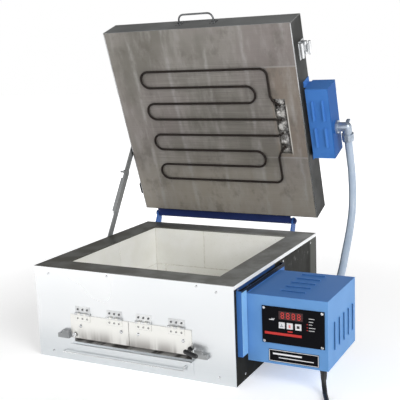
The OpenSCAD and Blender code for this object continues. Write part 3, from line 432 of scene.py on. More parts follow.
# Case wrap: the right side darkened as a painted reflection of dark surroundings, with pale spots
# of painted reflection beside the control box, and paler towards the rear corner; the other sides
# keep a paler steel tone
wrapLook = {
    "grain": (1.0, 0.8, 40.0), "cloud": (9.0, 3.0, 0.5), "rough": (0.5, 0.62),
    "light": (0.030, 0.030, 0.027), "dark": (0.013, 0.013, 0.011),
    "reflectedSpots": ((46.0, 3.0, 0.7), (0.56, 0.70)), "reflectedSpotsAbove": (0.16, 0.21),
    "reflectedSpotShare": 0.6, "reflectedSpotColour": (0.15, 0.15, 0.145),
    "cornerStart": (0.222, 0.240), "cornerEnd": (0.281, 0.276),
    "cornerColour": (0.105, 0.107, 0.098),
    "behind": (0.2815, 0.2825), "left": (-0.2792, -0.2798),
    "otherSidesLight": (0.20, 0.205, 0.205), "otherSidesDark": (0.14, 0.143, 0.142),
    "wearAndShade": 0.4, "wearAndShadeColour": (0.5, 0.5, 0.5),
}


def wrapBuild(tree, shader):
    look = wrapLook
    where = objectVector(tree)
    axes = axesOf(tree, where)
    cloud = cloudOf(tree, where, look["cloud"])
    base = mixColour(tree, cloud, look["light"], look["dark"])
    # Pale spots above the control box, painted reflections
    reflectedSpots = times(tree, cloudOf(tree, where, *look["reflectedSpots"]),
                  ramp(tree, axes["Z"], *look["reflectedSpotsAbove"]))
    mottled = over(tree, base, reflectedSpots, look["reflectedSpotShare"], look["reflectedSpotColour"])
    corner = times(tree, ramp(tree, axes["Y"], *look["cornerStart"]),
                   ramp(tree, axes["Y"], *look["cornerEnd"]))
    right = mixColour(tree, corner, mottled, look["cornerColour"])
    others = mathNode(tree, "MAXIMUM", ramp(tree, axes["Y"], *look["behind"]),
                      ramp(tree, axes["X"], *look["left"]))
    paleTone = mixColour(tree, cloud, look["otherSidesLight"], look["otherSidesDark"])
    finishSheet(tree, shader, look, mixColour(tree, others, right, paleTone), cloud)


wrapSteel = material("wrapSteel", rough=0.55, build=wrapBuild, spec=0.05)

# Rim: darker on the left, a painted shade, a little lighter along the front, and lighter towards
# the right, painted light
rimLook = {
    "grain": (8.0, 8.0, 8.0), "cloud": (16.0, 4.0, 0.6), "rough": (0.44, 0.6),
    "front": (-0.215, -0.235), "shadedLeft": (0.062, 0.063, 0.054),
    "shadedFrontLeft": (0.082, 0.083, 0.075),
    "right": (-0.22, 0.18), "paleTone": (0.285, 0.290, 0.280),
    "cloudShare": 0.45, "cloudColour": (0.095, 0.088, 0.072),
    "wearAndShade": 0.5, "wearAndShadeColour": (0.6, 0.61, 0.6),
}


def rimBuild(tree, shader):
    look = rimLook
    where = objectVector(tree)
    axes = axesOf(tree, where)
    front = ramp(tree, axes["Y"], *look["front"])
    shadedLeft = mixColour(tree, front, look["shadedLeft"], look["shadedFrontLeft"])
    # Lighter towards the right, painted light
    base = mixColour(tree, ramp(tree, axes["X"], *look["right"]), shadedLeft, look["paleTone"])
    cloud = cloudOf(tree, where, look["cloud"])
    mottled = over(tree, base, cloud, look["cloudShare"], look["cloudColour"])
    finishSheet(tree, shader, look, mottled, cloud)


rimSteel = material("rimSteel", rough=0.5, metal=0.05, build=rimBuild, spec=0.12)

# Lid shell: dark sides, a paler front end and a paler outer face
shellLook = {
    "grain": (1.0, 30.0, 30.0), "cloud": (7.0, 3.0, 0.5), "rough": (0.4, 0.52),
    "light": (0.034, 0.036, 0.035), "dark": (0.016, 0.016, 0.014),
    "end": (0.5705, 0.5725), "endLight": (0.205, 0.210, 0.208),
    "endDark": (0.160, 0.163, 0.160),
    "outer": (-0.0012, -0.0004), "outerLight": (0.26, 0.265, 0.265),
    "outerDark": (0.19, 0.193, 0.192),
    "wearAndShade": 0.5, "wearAndShadeColour": (0.5, 0.51, 0.51),
}


def shellBuild(tree, shader):
    look = shellLook
    where = objectVector(tree)
    cloud = cloudOf(tree, where, look["cloud"])
    base = mixColour(tree, cloud, look["light"], look["dark"])
    outer = ramp(tree, measured(tree, where, lidPlane["out"]),
                 *(lidPlane["outer"] + limit for limit in look["outer"]))
    outerFace = mixColour(tree, cloud, look["outerLight"], look["outerDark"])
    end = ramp(tree, measured(tree, where, lidPlane["along"]),
               *(lidPlane["start"] + limit for limit in look["end"]))
    endFace = mixColour(tree, cloud, look["endLight"], look["endDark"])
    sides = mixColour(tree, outer, base, outerFace)
    finishSheet(tree, shader, look, mixColour(tree, end, sides, endFace), cloud)


lidShellSteel = material("lidShellSteel", rough=0.45, metal=0.1, build=shellBuild, spec=0.12)

# Firebrick: cream, fine pores, tan at the joints, and darkened in broken dashes round the mandrel
# slot, a painted shade
brickLook = {
    "pores": (420.0, 3.0, 0.6), "pits": (0.36, 0.28), "pitShare": 0.5,
    "pitColour": (0.46, 0.40, 0.31), "bump": (0.35, 0.001),
    "cloud": (7.0, 4.0, 0.6), "light": (0.94, 0.94, 0.91), "dark": (0.86, 0.855, 0.80),
    "joint": 0.85, "jointColour": (0.30, 0.24, 0.15), "jointRadius": 0.0022,
    "front": (-0.19, -0.235), "low": (0.070, 0.058),
    "dashesStretch": (30.0, 2.0, 2.0), "dashes": ((1.0, 2.0, 0.5), (0.42, 0.60)),
    "slotShade": (0.12, 0.115, 0.112), "slotShadeLight": (0.55, 0.54, 0.53),
}


def brickBuild(tree, shader):
    look = brickLook
    where = objectVector(tree)
    axes = axesOf(tree, where)
    pores = noiseOf(tree, where, *look["pores"])
    base = mixColour(tree, cloudOf(tree, where, look["cloud"]), look["light"], look["dark"])
    pitted = over(tree, base, ramp(tree, pores, *look["pits"]), look["pitShare"],
                  look["pitColour"])
    jointed = edgeWearAndShade(tree, pitted, look["joint"], look["jointColour"], look["jointRadius"])
    dashes = stretchedCloud(tree, look, "dashes")
    slotShade = mixColour(tree, dashes, look["slotShade"], look["slotShadeLight"])
    # Low front edge by the mandrel slot, darkened as painted shade
    slot = times(tree, ramp(tree, axes["Y"], *look["front"]),
                 ramp(tree, axes["Z"], *look["low"]))
    surface(tree, shader, mixColour(tree, slot, jointed, slotShade),
            bumpOf(tree, pores, *look["bump"]))


firebrick = material("firebrick", rough=0.92, build=brickBuild)

# Lid face: heat-tinted sheet with broad patches, pale upright streaks that are painted
# highlights, a painted glint, a lighter foot that is painted light, and fine lines across
tintedLook = {
    "patchStretch": (1.2, 0.5, 1.2), "patch": ((5.0, 3.0, 0.55), (0.38, 0.62)),
    "light": (0.245, 0.229, 0.208), "dark": (0.172, 0.161, 0.140),
    "rose": ((3.4, 2.0, 0.5), (0.42, 0.6)), "roseShare": 0.6,
    "roseColour": (0.240, 0.205, 0.200),
    "foot": (0.26, 0.02, 0.0, 0.75), "litFootColour": (0.350, 0.318, 0.270),
    "sideAcross": (0.192, 0.205), "sideAlong": (0.192, 0.456, 0.002), "sideShare": 0.7,
    "sideColour": (0.235, 0.188, 0.150),
    "smearStretch": (7.0, 2.0, 2.0), "smear": ((4.0, 5.0, 0.68), (0.46, 0.68)),
    "smearShare": 0.34, "smearColour": (0.40, 0.385, 0.365),
    "dullStretch": (4.0, 3.0, 3.0), "dull": ((5.0, 5.0, 0.65), (0.52, 0.68)),
    "dullShare": 0.45, "dullColour": (0.118, 0.106, 0.090),
    "streakStart": 0.204, "streakPitch": 0.117, "streakFade": (0.0105, 0.0008),
    "wave": (6.0, 2.0, 0.5), "waveDepth": 0.014,
    "brokenStretch": (12.0, 4.0, 4.0), "broken": ((4.0, 4.0, 0.65), (0.40, 0.62, 0.1, 1.0)),
    "edges": (0.456, 0.190), "edgeHalf": 0.004, "edgeAcross": (0.10, 0.20),
    "streakShare": 0.45, "edgeShare": 0.5, "paleLineColour": (0.42, 0.41, 0.395),
    "glintAcross": (0.2390, 0.0026), "glintAlong": (0.206, 0.345, 0.012),
    "glintColour": (0.72, 0.70, 0.65),
    "lineStretch": (1.2, 60.0, 160.0), "lines": (6.0, 3.0, 0.6),
    "lineRange": (0.38, 0.62, 0.0, 0.45), "lineColour": (0.105, 0.096, 0.087),
    "centreAcross": (0.225, 0.165), "centreAlong": (0.15, 0.47, 0.03), "outside": 0.22,
    "bump": (0.10, 0.0004), "rough": (0.50, 0.34),
}


def tintedPatches(tree, where, across, along):
    look = tintedLook
    patch = stretchedCloud(tree, look, "patch")
    base = mixColour(tree, patch, look["light"], look["dark"])
    rose = over(tree, base, cloudOf(tree, where, *look["rose"]), look["roseShare"],
                look["roseColour"])
    # Lighter towards the lid's foot, painted light
    foot = mixColour(tree, ramp(tree, along, *look["foot"]), rose, look["litFootColour"])
    side = times(tree, ramp(tree, across, *look["sideAcross"]),
                 between(tree, along, *look["sideAlong"]))
    brown = over(tree, foot, side, look["sideShare"], look["sideColour"])
    smear = stretchedCloud(tree, look, "smear")
    smeared = over(tree, brown, smear, look["smearShare"], look["smearColour"])
    dull = stretchedCloud(tree, look, "dull")
    return over(tree, smeared, dull, look["dullShare"], look["dullColour"])


# Upright pale streaks at an even pitch, a little wavy and broken, painted highlights
def tintedStreakHighlights(tree, where, across):
    look = tintedLook
    wave = times(tree, noiseOf(tree, where, *look["wave"]), look["waveDepth"])
    moved = mathNode(tree, "ADD", mathNode(tree, "ADD", across, wave), look["streakStart"])
    turns = mathNode(tree, "DIVIDE", moved, look["streakPitch"])
    part = mathNode(tree, "FRACT", mathNode(tree, "ADD", turns, 0.5))
    away = mathNode(tree, "ABSOLUTE", mathNode(tree, "SUBTRACT", part, 0.5))
    gap = times(tree, away, look["streakPitch"])
    broken = stretchedCloud(tree, look, "broken")
    return times(tree, ramp(tree, gap, *look["streakFade"]), broken)


def tintedBuild(tree, shader):
    look = tintedLook
    where = objectVector(tree)
    across = axesOf(tree, where)["X"]
    along = mathNode(tree, "SUBTRACT", measured(tree, where, lidPlane["along"]),
                     lidPlane["start"])
    base = tintedPatches(tree, where, across, along)
    paintedLine = tintedStreakHighlights(tree, where, across)
    edge = mathNode(tree, "MAXIMUM",
                    *(nearLine(tree, along, at, look["edgeHalf"]) for at in look["edges"]))
    edge = times(tree, edge, ramp(tree, across, *look["edgeAcross"]))
    bright = mathNode(tree, "MAXIMUM", times(tree, paintedLine, look["streakShare"]),
                      times(tree, edge, look["edgeShare"]))
    paleLined = mixColour(tree, bright, base, look["paleLineColour"])
    # A painted highlight along one line, the glint
    glint = times(tree, nearLine(tree, across, *look["glintAcross"]),
                  between(tree, along, *look["glintAlong"]))
    pale = mixColour(tree, glint, paleLined, look["glintColour"])
    lines = noiseOf(tree, stretched(tree, look["lineStretch"]), *look["lines"])
    centre = times(tree, ramp(tree, mathNode(tree, "ABSOLUTE", across), *look["centreAcross"]),
                   between(tree, along, *look["centreAlong"]))
    strength = ramp(tree, centre, 0.0, 1.0, look["outside"], 1.0)
    fine = times(tree, ramp(tree, lines, *look["lineRange"]), strength)
    surface(tree, shader, mixColour(tree, fine, pale, look["lineColour"]),
            bumpOf(tree, lines, *look["bump"]), ramp(tree, paintedLine, 0.0, 1.0, *look["rough"]))


tintedSteel = material("tintedSteel", rough=0.48, metal=0.25, build=tintedBuild, spec=0.4)

# Bead doors: polished sheet with grey upright smudges that fade towards the hinges, and dark
# edges that are a painted shade
doorLook = {
    "grain": (0.6, 1.0, 40.0), "low": (0.102, 0.058), "smudgeStretch": (34.0, 1.0, 3.0),
    "smudge": ((1.0, 3.0, 0.55), (0.30, 0.68)), "grey": (0.25, 0.95),
    "light": (0.88, 0.875, 0.84), "dark": (0.30, 0.285, 0.27),
    "wearAndShade": 0.9, "wearAndShadeColour": (0.10, 0.10, 0.10), "shadeRadius": 0.001,
}


def doorBuild(tree, shader):
    look = doorLook
    low = ramp(tree, axesOf(tree, objectVector(tree))["Z"], *look["low"])
    smudge = stretchedCloud(tree, look, "smudge")
    grey = times(tree, low, ramp(tree, smudge, 0.0, 1.0, *look["grey"]))
    base = mixColour(tree, grey, look["light"], look["dark"])
    # Dark edges round each door, painted shade
    surface(tree, shader,
            edgeWearAndShade(tree, base, look["wearAndShade"], look["wearAndShadeColour"], look["shadeRadius"]),
            brushedAlong(tree, look["grain"])["Normal"])


doorSteel = material("doorSteel", rough=0.30, metal=0.75, build=doorBuild)

# Packing: creased metal-bright wool, with painted shade in dark lumps and towards its right edge
packingLook = {
    "fibre": (240.0, 6.0, 0.7), "fibreRange": (0.4, 0.7, 0.0, 0.5), "bump": (0.7, 0.002),
    "fibreColour": (0.72, 0.71, 0.69),
    "lump": ((52.0, 4.0, 0.6), (0.44, 0.60)), "right": (0.223, 0.233, 0.0, 0.85),
    "light": (0.60, 0.585, 0.56), "dark": (0.055, 0.050, 0.046),
}


def packingBuild(tree, shader):
    look = packingLook
    where = objectVector(tree)
    fibre = noiseOf(tree, where, *look["fibre"])
    shade = mathNode(tree, "MAXIMUM", cloudOf(tree, where, *look["lump"]),
                     ramp(tree, axesOf(tree, where)["X"], *look["right"]))
    base = mixColour(tree, shade, look["light"], look["dark"])
    surface(tree, shader,
            mixColour(tree, ramp(tree, fibre, *look["fibreRange"]), base, look["fibreColour"]),
            bumpOf(tree, fibre, *look["bump"]))


packing = material("packing", rough=0.45, metal=0.5, build=packingBuild)
print("materials made")


# CAD pieces of each look
dressing = (
    (shellSteel, "bottom_pan control_chassis"),
    (board, "base_board"),
    (firebrick, "floor_bricks wall_bricks left_door_block right_door_block"),
    (frontSteel, "front_panel mandrel_rest"),
    (wrapSteel, "case_wrap"),
    (rimSteel, "rim_trim"),
    (brightSteel, "case_screws stay_post stay_bracket latch_keeper latch_base latch_lever"),
    (brightSteel, "left_door_studs right_door_studs door_knob"),
    (postPaint, "hinge_posts"),
    (hingePaint, "hinge_rod lid_hinge"),
    (leafSteel, "door_hinge_leaves rest_wire"),
    (armSteel, "rest_brackets lower_arm upper_arm"),
    (bracketPaint, "spacer_bracket"),
    (boxPaint, "control_cover"),
    (plateBlack, "controller_plate"),
    (lensPlastic, "display"),
    (boardGreen, "circuit_board"),
    (keyPlastic, "relay key_1 key_2 key_3"),
    (blackPlastic, "cord_gland door_lever lid_bumper"),
    (fittingMetal, "conduit_socket elbow_fitting"),
    (probeCeramic, "thermocouple"),
    (doorSteel, "left_door right_door"),
    (lidShellSteel, "lid_shell"),
    (tintedSteel, "lid_liner"),
    (blanket, "lid_insulation"),
    (elementSheath, "element_upper element_lower"),
    (handleSteel, "lid_handle"),
    (terminalPaint, "terminal_cover terminal_brackets"),
    (tieFabric, "coil_tie"),
    (rubber, "plug"),
)
for mat, names in dressing:
    for name in names.split():
        mesh = nodes[name].data
        mesh.materials.clear()
        mesh.materials.append(mat)


def meshPiece(name, build, body, mat, smooth=False):
    bm = bmesh.new()
    build(bm)
    bmesh.ops.recalc_face_normals(bm, faces=bm.faces)
    mesh = bpy.data.meshes.new(name)
    bm.to_mesh(mesh)
    bm.free()
    if smooth:
        for face in mesh.polygons:
            face.use_smooth = True
    mesh.materials.append(mat)
    obj = bpy.data.objects.new(name, mesh)
    bpy.context.scene.collection.objects.link(obj)
    if body:
        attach(obj, body)
    return obj


# Block with rounded edges from one corner to the other, in millimetres
def block(bm, low, high, edge, frameOf=None):
    made = bmesh.ops.create_cube(bm, size=1.0)["verts"]
    size = [b - a for a, b in zip(low, high)]
    for v in made:
        v.co = Vector([(a + s * (c + 0.5)) for a, s, c in zip(low, size, v.co)]) * mm
    ring = dict.fromkeys(e for v in made for e in v.link_edges)
    made = bmesh.ops.bevel(bm, geom=list(ring), offset=edge * mm, offset_type="OFFSET",
                           segments=2, profile=0.5, affect="EDGES", material=-1)["verts"] + made
    if frameOf:
        for v in dict.fromkeys(v for v in made if v.is_valid):
            v.co = frameOf(v.co)


# Piece of several blocks: low corner, high corner and edge radius of each
def blocksOf(parts, frameOf=None):
    def build(bm):
        for low, high, edge in parts:
            block(bm, low, high, edge, frameOf)
    return build


# Blocks for flat marks on a front face, each given as left, bottom, right and top
def flat(boxes, front, back, edge):
    return [((x0, front, z0), (x1, back, z1), edge) for x0, z0, x1, z1 in boxes]


def ringOf(bm, centre, radius, across, other, sides):
    turns = [2 * math.pi * k / sides for k in range(sides)]
    return [bm.verts.new((centre + radius * (math.cos(a) * across + math.sin(a) * other)) * mm)
            for a in turns]


# Closed skin over a row of rings. The painted line's faces take the second material
def skin(bm, rings, paintedLine=()):
    sides = len(rings[0])
    for a, b in zip(rings, rings[1:]):
        for k in range(sides):
            face = bm.faces.new((a[k], a[(k + 1) % sides], b[(k + 1) % sides], b[k]))
            face.material_index = 1 if k in paintedLine else 0
    bm.faces.new(rings[0])
    bm.faces.new(rings[-1])


# Points of a smooth line through the given ones, with parts to each stretch
def smoothLine(points, parts):
    pts = [Vector(p) for p in points]
    made = []
    for i in range(len(pts) - 1):
        a, b = pts[max(i - 1, 0)], pts[i]
        c, d = pts[i + 1], pts[min(i + 2, len(pts) - 1)]
        for k in range(parts):
            t = k / parts
            made.append(0.5 * (2 * b + (c - a) * t + (2 * a - 5 * b + 4 * c - d) * t * t
                               + (3 * b - a - 3 * c + d) * t ** 3))
    return made + [pts[-1]]


# Lid: the angle it is open, its hinge line, and its edge and face when shut
lidLook = {"angle": math.radians(70.74), "hinge": (0.3153, 0.2632), "edge": 0.2863,
           "face": 0.242}


# Place in the open lid of a point given in metres as the shut lid has it
def opened(p):
    hingeY, hingeZ = lidLook["hinge"]
    turn = lidLook["angle"]
    y, z = p[1] - hingeY, p[2] - hingeZ
    return Vector((p[0], hingeY + y * math.cos(turn) + z * math.sin(turn),
                   hingeZ - y * math.sin(turn) + z * math.cos(turn)))


# Lid frame in metres: across, out of the face, along the lid from its hinge edge
def lidFrame(p):
    return opened((p[0], lidLook["edge"] - p[2], lidLook["face"] + p[1]))


def lidPoint(across, out, along):
    return lidFrame((across * mm, out * mm, along * mm))


# Mains lead: out of the gland, down to the table, four turns in two layers, and on to the plug
lead = {
    "diameter": 11.0,
    "sides": 6,
    "points": [
        (467, -224, 56), (467, -224, 50), (468, -225, 39), (469, -229, 28), (472, -236, 19),
        (476, -244, 12), (480, -254, 7.5), (485, -264, 6), (493, -282, 5.7), (501, -301, 5.7),
        (509, -319, 5.7), (517, -338, 5.7), (525, -356, 5.8), (533, -374, 6.4)],
    "tail": [
        (556, -428, 18.1), (561, -440, 16.6), (566, -451.5, 14.4), (571, -463, 12.6),
        (575.4, -473, 12), (580, -483.5, 12)],
    "heading": (62, -143, 0),
    "coilStart": (547.0, -407.0),
    "coilRadius": 70.0,
    "turns": 4,
    "pitch": 12.2,
    "rise": 11.6,
    "climbEarly": 0.25,
    "climbTurns": 0.5,
    "coilLevel": 6.9,
    "steps": 24,
}


def coilPoints():
    run = Vector(lead["heading"]).normalized()
    side = Vector((run.y, -run.x, 0))
    centre = Vector((*lead["coilStart"], 0)) + side * lead["coilRadius"]
    start = math.atan2(-side.y, -side.x)
    half = lead["turns"] / 2
    made = []
    for i in range(lead["turns"] * lead["steps"] + 1):
        t = i / lead["steps"]
        r = lead["coilRadius"] - lead["pitch"] * (t if t < half else 2 * half - t)
        climb = (t - half + lead["climbEarly"]) / lead["climbTurns"]
        level = lead["coilLevel"] + lead["rise"] * max(0.0, min(1.0, climb))
        angle = start - 2 * math.pi * t
        made.append((centre.x + r * math.cos(angle), centre.y + r * math.sin(angle), level))
    return made


def curvePiece(name, points, diameter, sides, mat):
    data = bpy.data.curves.new(name, "CURVE")
    data.dimensions = "3D"
    data.bevel_depth = diameter * mm / 2
    data.bevel_resolution = sides
    data.use_fill_caps = True
    spline = data.splines.new("POLY")
    spline.points.add(len(points) - 1)
    for point, p in zip(spline.points, points):
        point.co = (*(Vector(p) * mm), 1.0)
        point.radius = 1.0
    spline.use_smooth = True
    data.materials.append(mat)
    obj = bpy.data.objects.new(name, data)
    bpy.context.scene.collection.objects.link(obj)
    return obj


leadLine = lead["points"] + coilPoints() + lead["tail"]
leadPiece = curvePiece("lead_cable", leadLine, lead["diameter"], lead["sides"], rubber)
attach(leadPiece, "case")
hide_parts("mains_lead", "cord_coil", "lead_tail")

# Tapered, ribbed strain relief along the first stretch of the lead
reliefLook = {"first": 1, "last": 5, "length": 24.0, "wide": 17.5, "narrow": 12.4,
              "ribs": 5, "groove": 0.45, "sides": 24, "parts": 8}


def reliefBuild(bm):
    points = lead["points"][reliefLook["first"]:reliefLook["last"] + 1]
    line = smoothLine(points, reliefLook["parts"])
    rings = []
    travelled = 0.0
    for i, p in enumerate(line[:-1]):
        if i:
            travelled += (line[i] - line[i - 1]).length
        if travelled > reliefLook["length"]:
            break
        t = travelled / reliefLook["length"]
        inGroove = int(t * reliefLook["ribs"] * 2) % 2 == 0
        groove = reliefLook["groove"] * (1 - t) if inGroove else 0.0
        r = (reliefLook["wide"] * (1 - t) + reliefLook["narrow"] * t) / 2 - groove
        way = (line[i + 1] - line[i]).normalized()
        across = way.cross(Vector((0, 1, 0))).normalized()
        rings.append(ringOf(bm, p, r, across, way.cross(across), reliefLook["sides"]))
    skin(bm, rings)


relief = meshPiece("lead_relief", reliefBuild, "case", blackPlastic, True)

# Conduit: one smooth jacket from the elbow to the socket, with a dark line along one side that is
# a painted shade
conduitLook = {
    "diameter": 21.0,
    "sides": 28,
    "parts": 5,
    "paintedLine": (9, 10),
    "elbow": ((382.75, 50, 221), (382.75, 50, 199)),
    "points": [
        (383, 278, 455), (384, 286, 425), (384, 291, 395), (385, 292, 365), (386, 288, 335),
        (387, 278, 307), (388, 262, 280), (389, 243, 255), (390, 221, 231), (391, 198, 207),
        (392, 177, 184), (392, 156, 162), (392, 134, 142), (392, 110, 127), (392, 84, 117),
        (392, 55, 113), (392, 28, 112), (392, 8, 112), (392, -4, 112)],
}


def conduitBuild(bm):
    start = [lidPoint(*p) / mm for p in conduitLook["elbow"]]
    line = smoothLine(start + conduitLook["points"], conduitLook["parts"])
    rings = []
    side = Vector((1, 0, 0))
    for i, p in enumerate(line):
        way = (line[min(i + 1, len(line) - 1)] - line[max(i - 1, 0)]).normalized()
        across = (side - way * side.dot(way)).normalized()
        rings.append(ringOf(bm, p, conduitLook["diameter"] / 2, across, way.cross(across),
                            conduitLook["sides"]))
    skin(bm, rings, conduitLook["paintedLine"])


conduit = meshPiece("conduit_jacket", conduitBuild, None, conduitSkin, True)
conduit.data.materials.append(conduitShadeLine)
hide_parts("conduit")
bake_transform(conduit)
print("lead and conduit made")

# Controller: four figures, short rules, a stripe and lamps on the black plate
controller = {
    "face": -243.0,
    "sunk": 0.1,
    "digitX": (375.2, 388.2, 401.2, 414.2),
    "digitZ": 164.6,
    "digitW": 7.6,
    "digitH": 13.8,
    "bar": 1.55,
    "gap": 0.35,
    "digitProud": 0.1,
    "digitSunk": 0.5,
    "digitEdge": 0.15,
    "proud": 0.25,
    "rules": ((441, 170.5, 454, 171.6), (441, 163.5, 451, 164.6), (441, 157.0, 449, 158.1),
              (441, 149.5, 456, 150.6), (441, 143.0, 454, 144.1),
              (347, 158.5, 359, 160.2), (352, 161.6, 361, 162.6)),
    "ruleEdge": 0.1,
    "stripes": ((336, 124.5, 424, 130.5), (391, 134.0, 403, 137.0)),
    "stripeEdge": 0.4,
    "lamps": ((436.2, 156.8, 438.6, 158.8), (436.2, 149.4, 438.6, 151.4),
              (436.2, 142.9, 438.6, 144.9)),
    "lampProud": 0.5,
    "lampEdge": 0.5,
}


# Seven bars of a figure whose left edge is at x
def digitBars(x):
    z, w, h, b = (controller[key] for key in ("digitZ", "digitW", "digitH", "bar"))
    inset = b / 2 + controller["gap"]
    levels = (z + b / 2, z + h / 2, z + h - b / 2)
    flats = [(x + inset, level - b / 2, x + w - inset, level + b / 2) for level in levels]
    ups = [(left, low + inset, left + b, high - inset)
           for left in (x, x + w - b) for low, high in zip(levels, levels[1:])]
    return flats + ups


def controllerMarks():
    face, back = controller["face"], controller["face"] + controller["sunk"]
    front = face - controller["proud"]
    digits = flat([bar for x in controller["digitX"] for bar in digitBars(x)],
                  face - controller["digitProud"], face + controller["digitSunk"],
                  controller["digitEdge"])
    rules = flat(controller["rules"], front, back, controller["ruleEdge"])
    stripes = flat(controller["stripes"], front, back, controller["stripeEdge"])
    lamps = flat(controller["lamps"], face - controller["lampProud"], back,
                 controller["lampEdge"])
    meshPiece("display_figures", blocksOf(digits), "case", digitRed)
    meshPiece("plate_rules", blocksOf(rules), "case", markWhite)
    meshPiece("plate_stripe", blocksOf(stripes + lamps), "case", markRed)


controllerMarks()

# Marks on the three keys
keyLook = {
    "front": -244.9,
    "back": -244.5,
    "edge": 0.15,
    "marks": {
        "key_dot": ("third_key", blackPlastic, "black_plastic",
                    ((413.6, 145.6, 419.8, 151.8),)),
        "key_arrow": ("first_key", markGrey, "arm_steel",
                      ((373.8, 145.0, 381.6, 147.6), (376.4, 147.6, 379.0, 152.0))),
        "key_bar": ("second_key", markPink, "display_lens",
                    ((394.4, 144.6, 398.8, 151.8),)),
    },
}
for name, (body, mat, slot, boxes) in keyLook["marks"].items():
    marks = flat(boxes, keyLook["front"], keyLook["back"], keyLook["edge"])
    meshPiece(name, blocksOf(marks), body, mat)

# Bare name plate under the controller, with a border and two plain rules
labelLook = {
    "plate": ((344.0, 60.0, 463.0, 89.0),),
    "plateDepth": (-241.8, -240.9, 0.3),
    "border": ((345.0, 61.0, 462.0, 62.2), (345.0, 86.8, 462.0, 88.0),
               (345.0, 61.0, 346.2, 88.0), (460.8, 61.0, 462.0, 88.0)),
    "borderDepth": (-242.0, -241.5, 0.1),
    "rules": ((354.0, 77.0, 423.0, 81.0), (368.0, 69.5, 451.0, 71.5)),
    "ruleDepth": (-242.0, -241.5, 0.2),
}
labelMarks = (flat(labelLook["border"], *labelLook["borderDepth"])
              + flat(labelLook["rules"], *labelLook["ruleDepth"]))
meshPiece("label_plate", blocksOf(flat(labelLook["plate"], *labelLook["plateDepth"])), "case",
          plateBlack)
meshPiece("label_border", blocksOf(labelMarks), "case", markWhite)

# Dark heads and drives of the hinge leaves' screws. A profile is radius and rise
leafLook = {
    "hinges": {"left_bead_door": (-137.0, -43.0), "right_bead_door": (40.0, 130.0)},
    "offsets": (-14.0, 0.0, 14.0),
    "profile": ((2.85, 0.0), (2.565, 1.05), (1.5675, 1.75), (1.1, 1.75), (0.5, 0.7)),
    "sides": 16,
    "upper": (138.0, -284.8),
    "lower": (115.0, -285.9),
}


def leafHeads(hinges, z, y):
    def build(bm):
        across, up = Vector((1, 0, 0)), Vector((0, 0, 1))
        for x in [h + o for h in hinges for o in leafLook["offsets"]]:
            skin(bm, [ringOf(bm, Vector((x, y - rise, z)), r, across, up, leafLook["sides"])
                      for r, rise in leafLook["profile"]])
    return build


allHinges = sum(leafLook["hinges"].values(), ())
meshPiece("leaf_screws", leafHeads(allHinges, *leafLook["upper"]), "case", screwDark)
for body, hinges in leafLook["hinges"].items():
    meshPiece("leaf_screws_" + body, leafHeads(hinges, *leafLook["lower"]), body, screwDark)

# Folded flange of the control box's bracket on the case's side
flangeLook = [((280.05, -269.5, 223.0), (281.3, -40.0, 230.2), 0.25)]
meshPiece("bracket_flange", blocksOf(flangeLook), "case", flangePaint)

# Sill that closes the bracket's window
sillLook = [((291.15, -243.2, 199.9), (292.15, -13.9, 218.1), 0.25)]
meshPiece("bracket_sill", blocksOf(sillLook), "case", bracketPaint)

# Bright folded lip along the top of the case's right side
lipLook = [((280.0, -283.0, 231.0), (280.9, 283.0, 240.0), 0.3)]
meshPiece("side_lip", blocksOf(lipLook), "case", lipSteel)

# Rounded outer edge of the bracket beside the control box, with a rivet at each end, in a lighter
# blue that is painted light
pillarLook = [
    ((292.3, -270.0, 72.0), (294.0, -243.2, 222.0), 0.75),
    ((293.7, -261.0, 78.0), (295.6, -255.0, 84.0), 0.7),
    ((293.7, -261.0, 207.0), (295.6, -255.0, 213.0), 0.7),
]
meshPiece("bracket_edge", blocksOf(pillarLook), "case", litEdgePaint)

# Rolled leaf of the lid hinge, unbroken from post to post, as the shut lid has it
hingeLook = [((-251.0, 286.6, 254.0), (196.0, 316.3, 257.4), 0.4)]
meshPiece("hinge_leaf", blocksOf(hingeLook, opened), "lid", hingePaint)

# Rubber pad on the lid's left side, proud of its mount, in the lid frame
padLook = [((-296.6, 6.0, 46.0), (-284.3, 25.0, 84.0), 5.0)]
meshPiece("bumper_pad", blocksOf(padLook, lidFrame), "lid", rubber, True)

# Thin bright seams of the lid face, in the lid frame
seamLook = [
    ((280.6, -0.5, 3.0), (283.0, 0.2, 570.0), 0.15),
    ((-283.0, -0.5, 3.0), (-281.6, 0.2, 570.0), 0.15),
]
meshPiece("lid_seams", blocksOf(seamLook, lidFrame), "lid", brightSteel)

# Crumpled packing round the element ends, in the lid frame
woolLook = {
    "low": (203.0, 201.2), "high": (235.8, 364.4), "back": 20.0, "cells": (16, 72),
    "slopes": (6, 14), "depth": 9.0, "least": -0.5, "face": 6.5,
    "lump": {"scale": 0.05, "at": 3.1, "falloff": (1.0, 2.0, 5), "depth": 6.0},
    "fold": {"scale": (0.16, 0.11), "at": 7.7, "depth": 7.0},
    "ends": {"x": 213, "u": (343, 222.6, 302.2, 263.4), "flat": 0.4, "reach": 11, "depth": 0.9},
}


# Depth of the packing at a place in its recess, deeper round each element end
def woolDepth(x, u, edge):
    lump, fold, ends = (woolLook[key] for key in ("lump", "fold", "ends"))
    raised = noise.fractal(Vector((x * lump["scale"], lump["at"], u * lump["scale"])),
                           *lump["falloff"])
    crease = abs(noise.noise(Vector((x * fold["scale"][0], fold["at"], u * fold["scale"][1]))))
    near = min(abs(u - c) + abs(x - ends["x"]) * ends["flat"] for c in ends["u"])
    d = woolLook["depth"] - edge * (woolLook["face"] + lump["depth"] * raised)
    return d + fold["depth"] * crease + max(0.0, ends["reach"] - near) * ends["depth"]


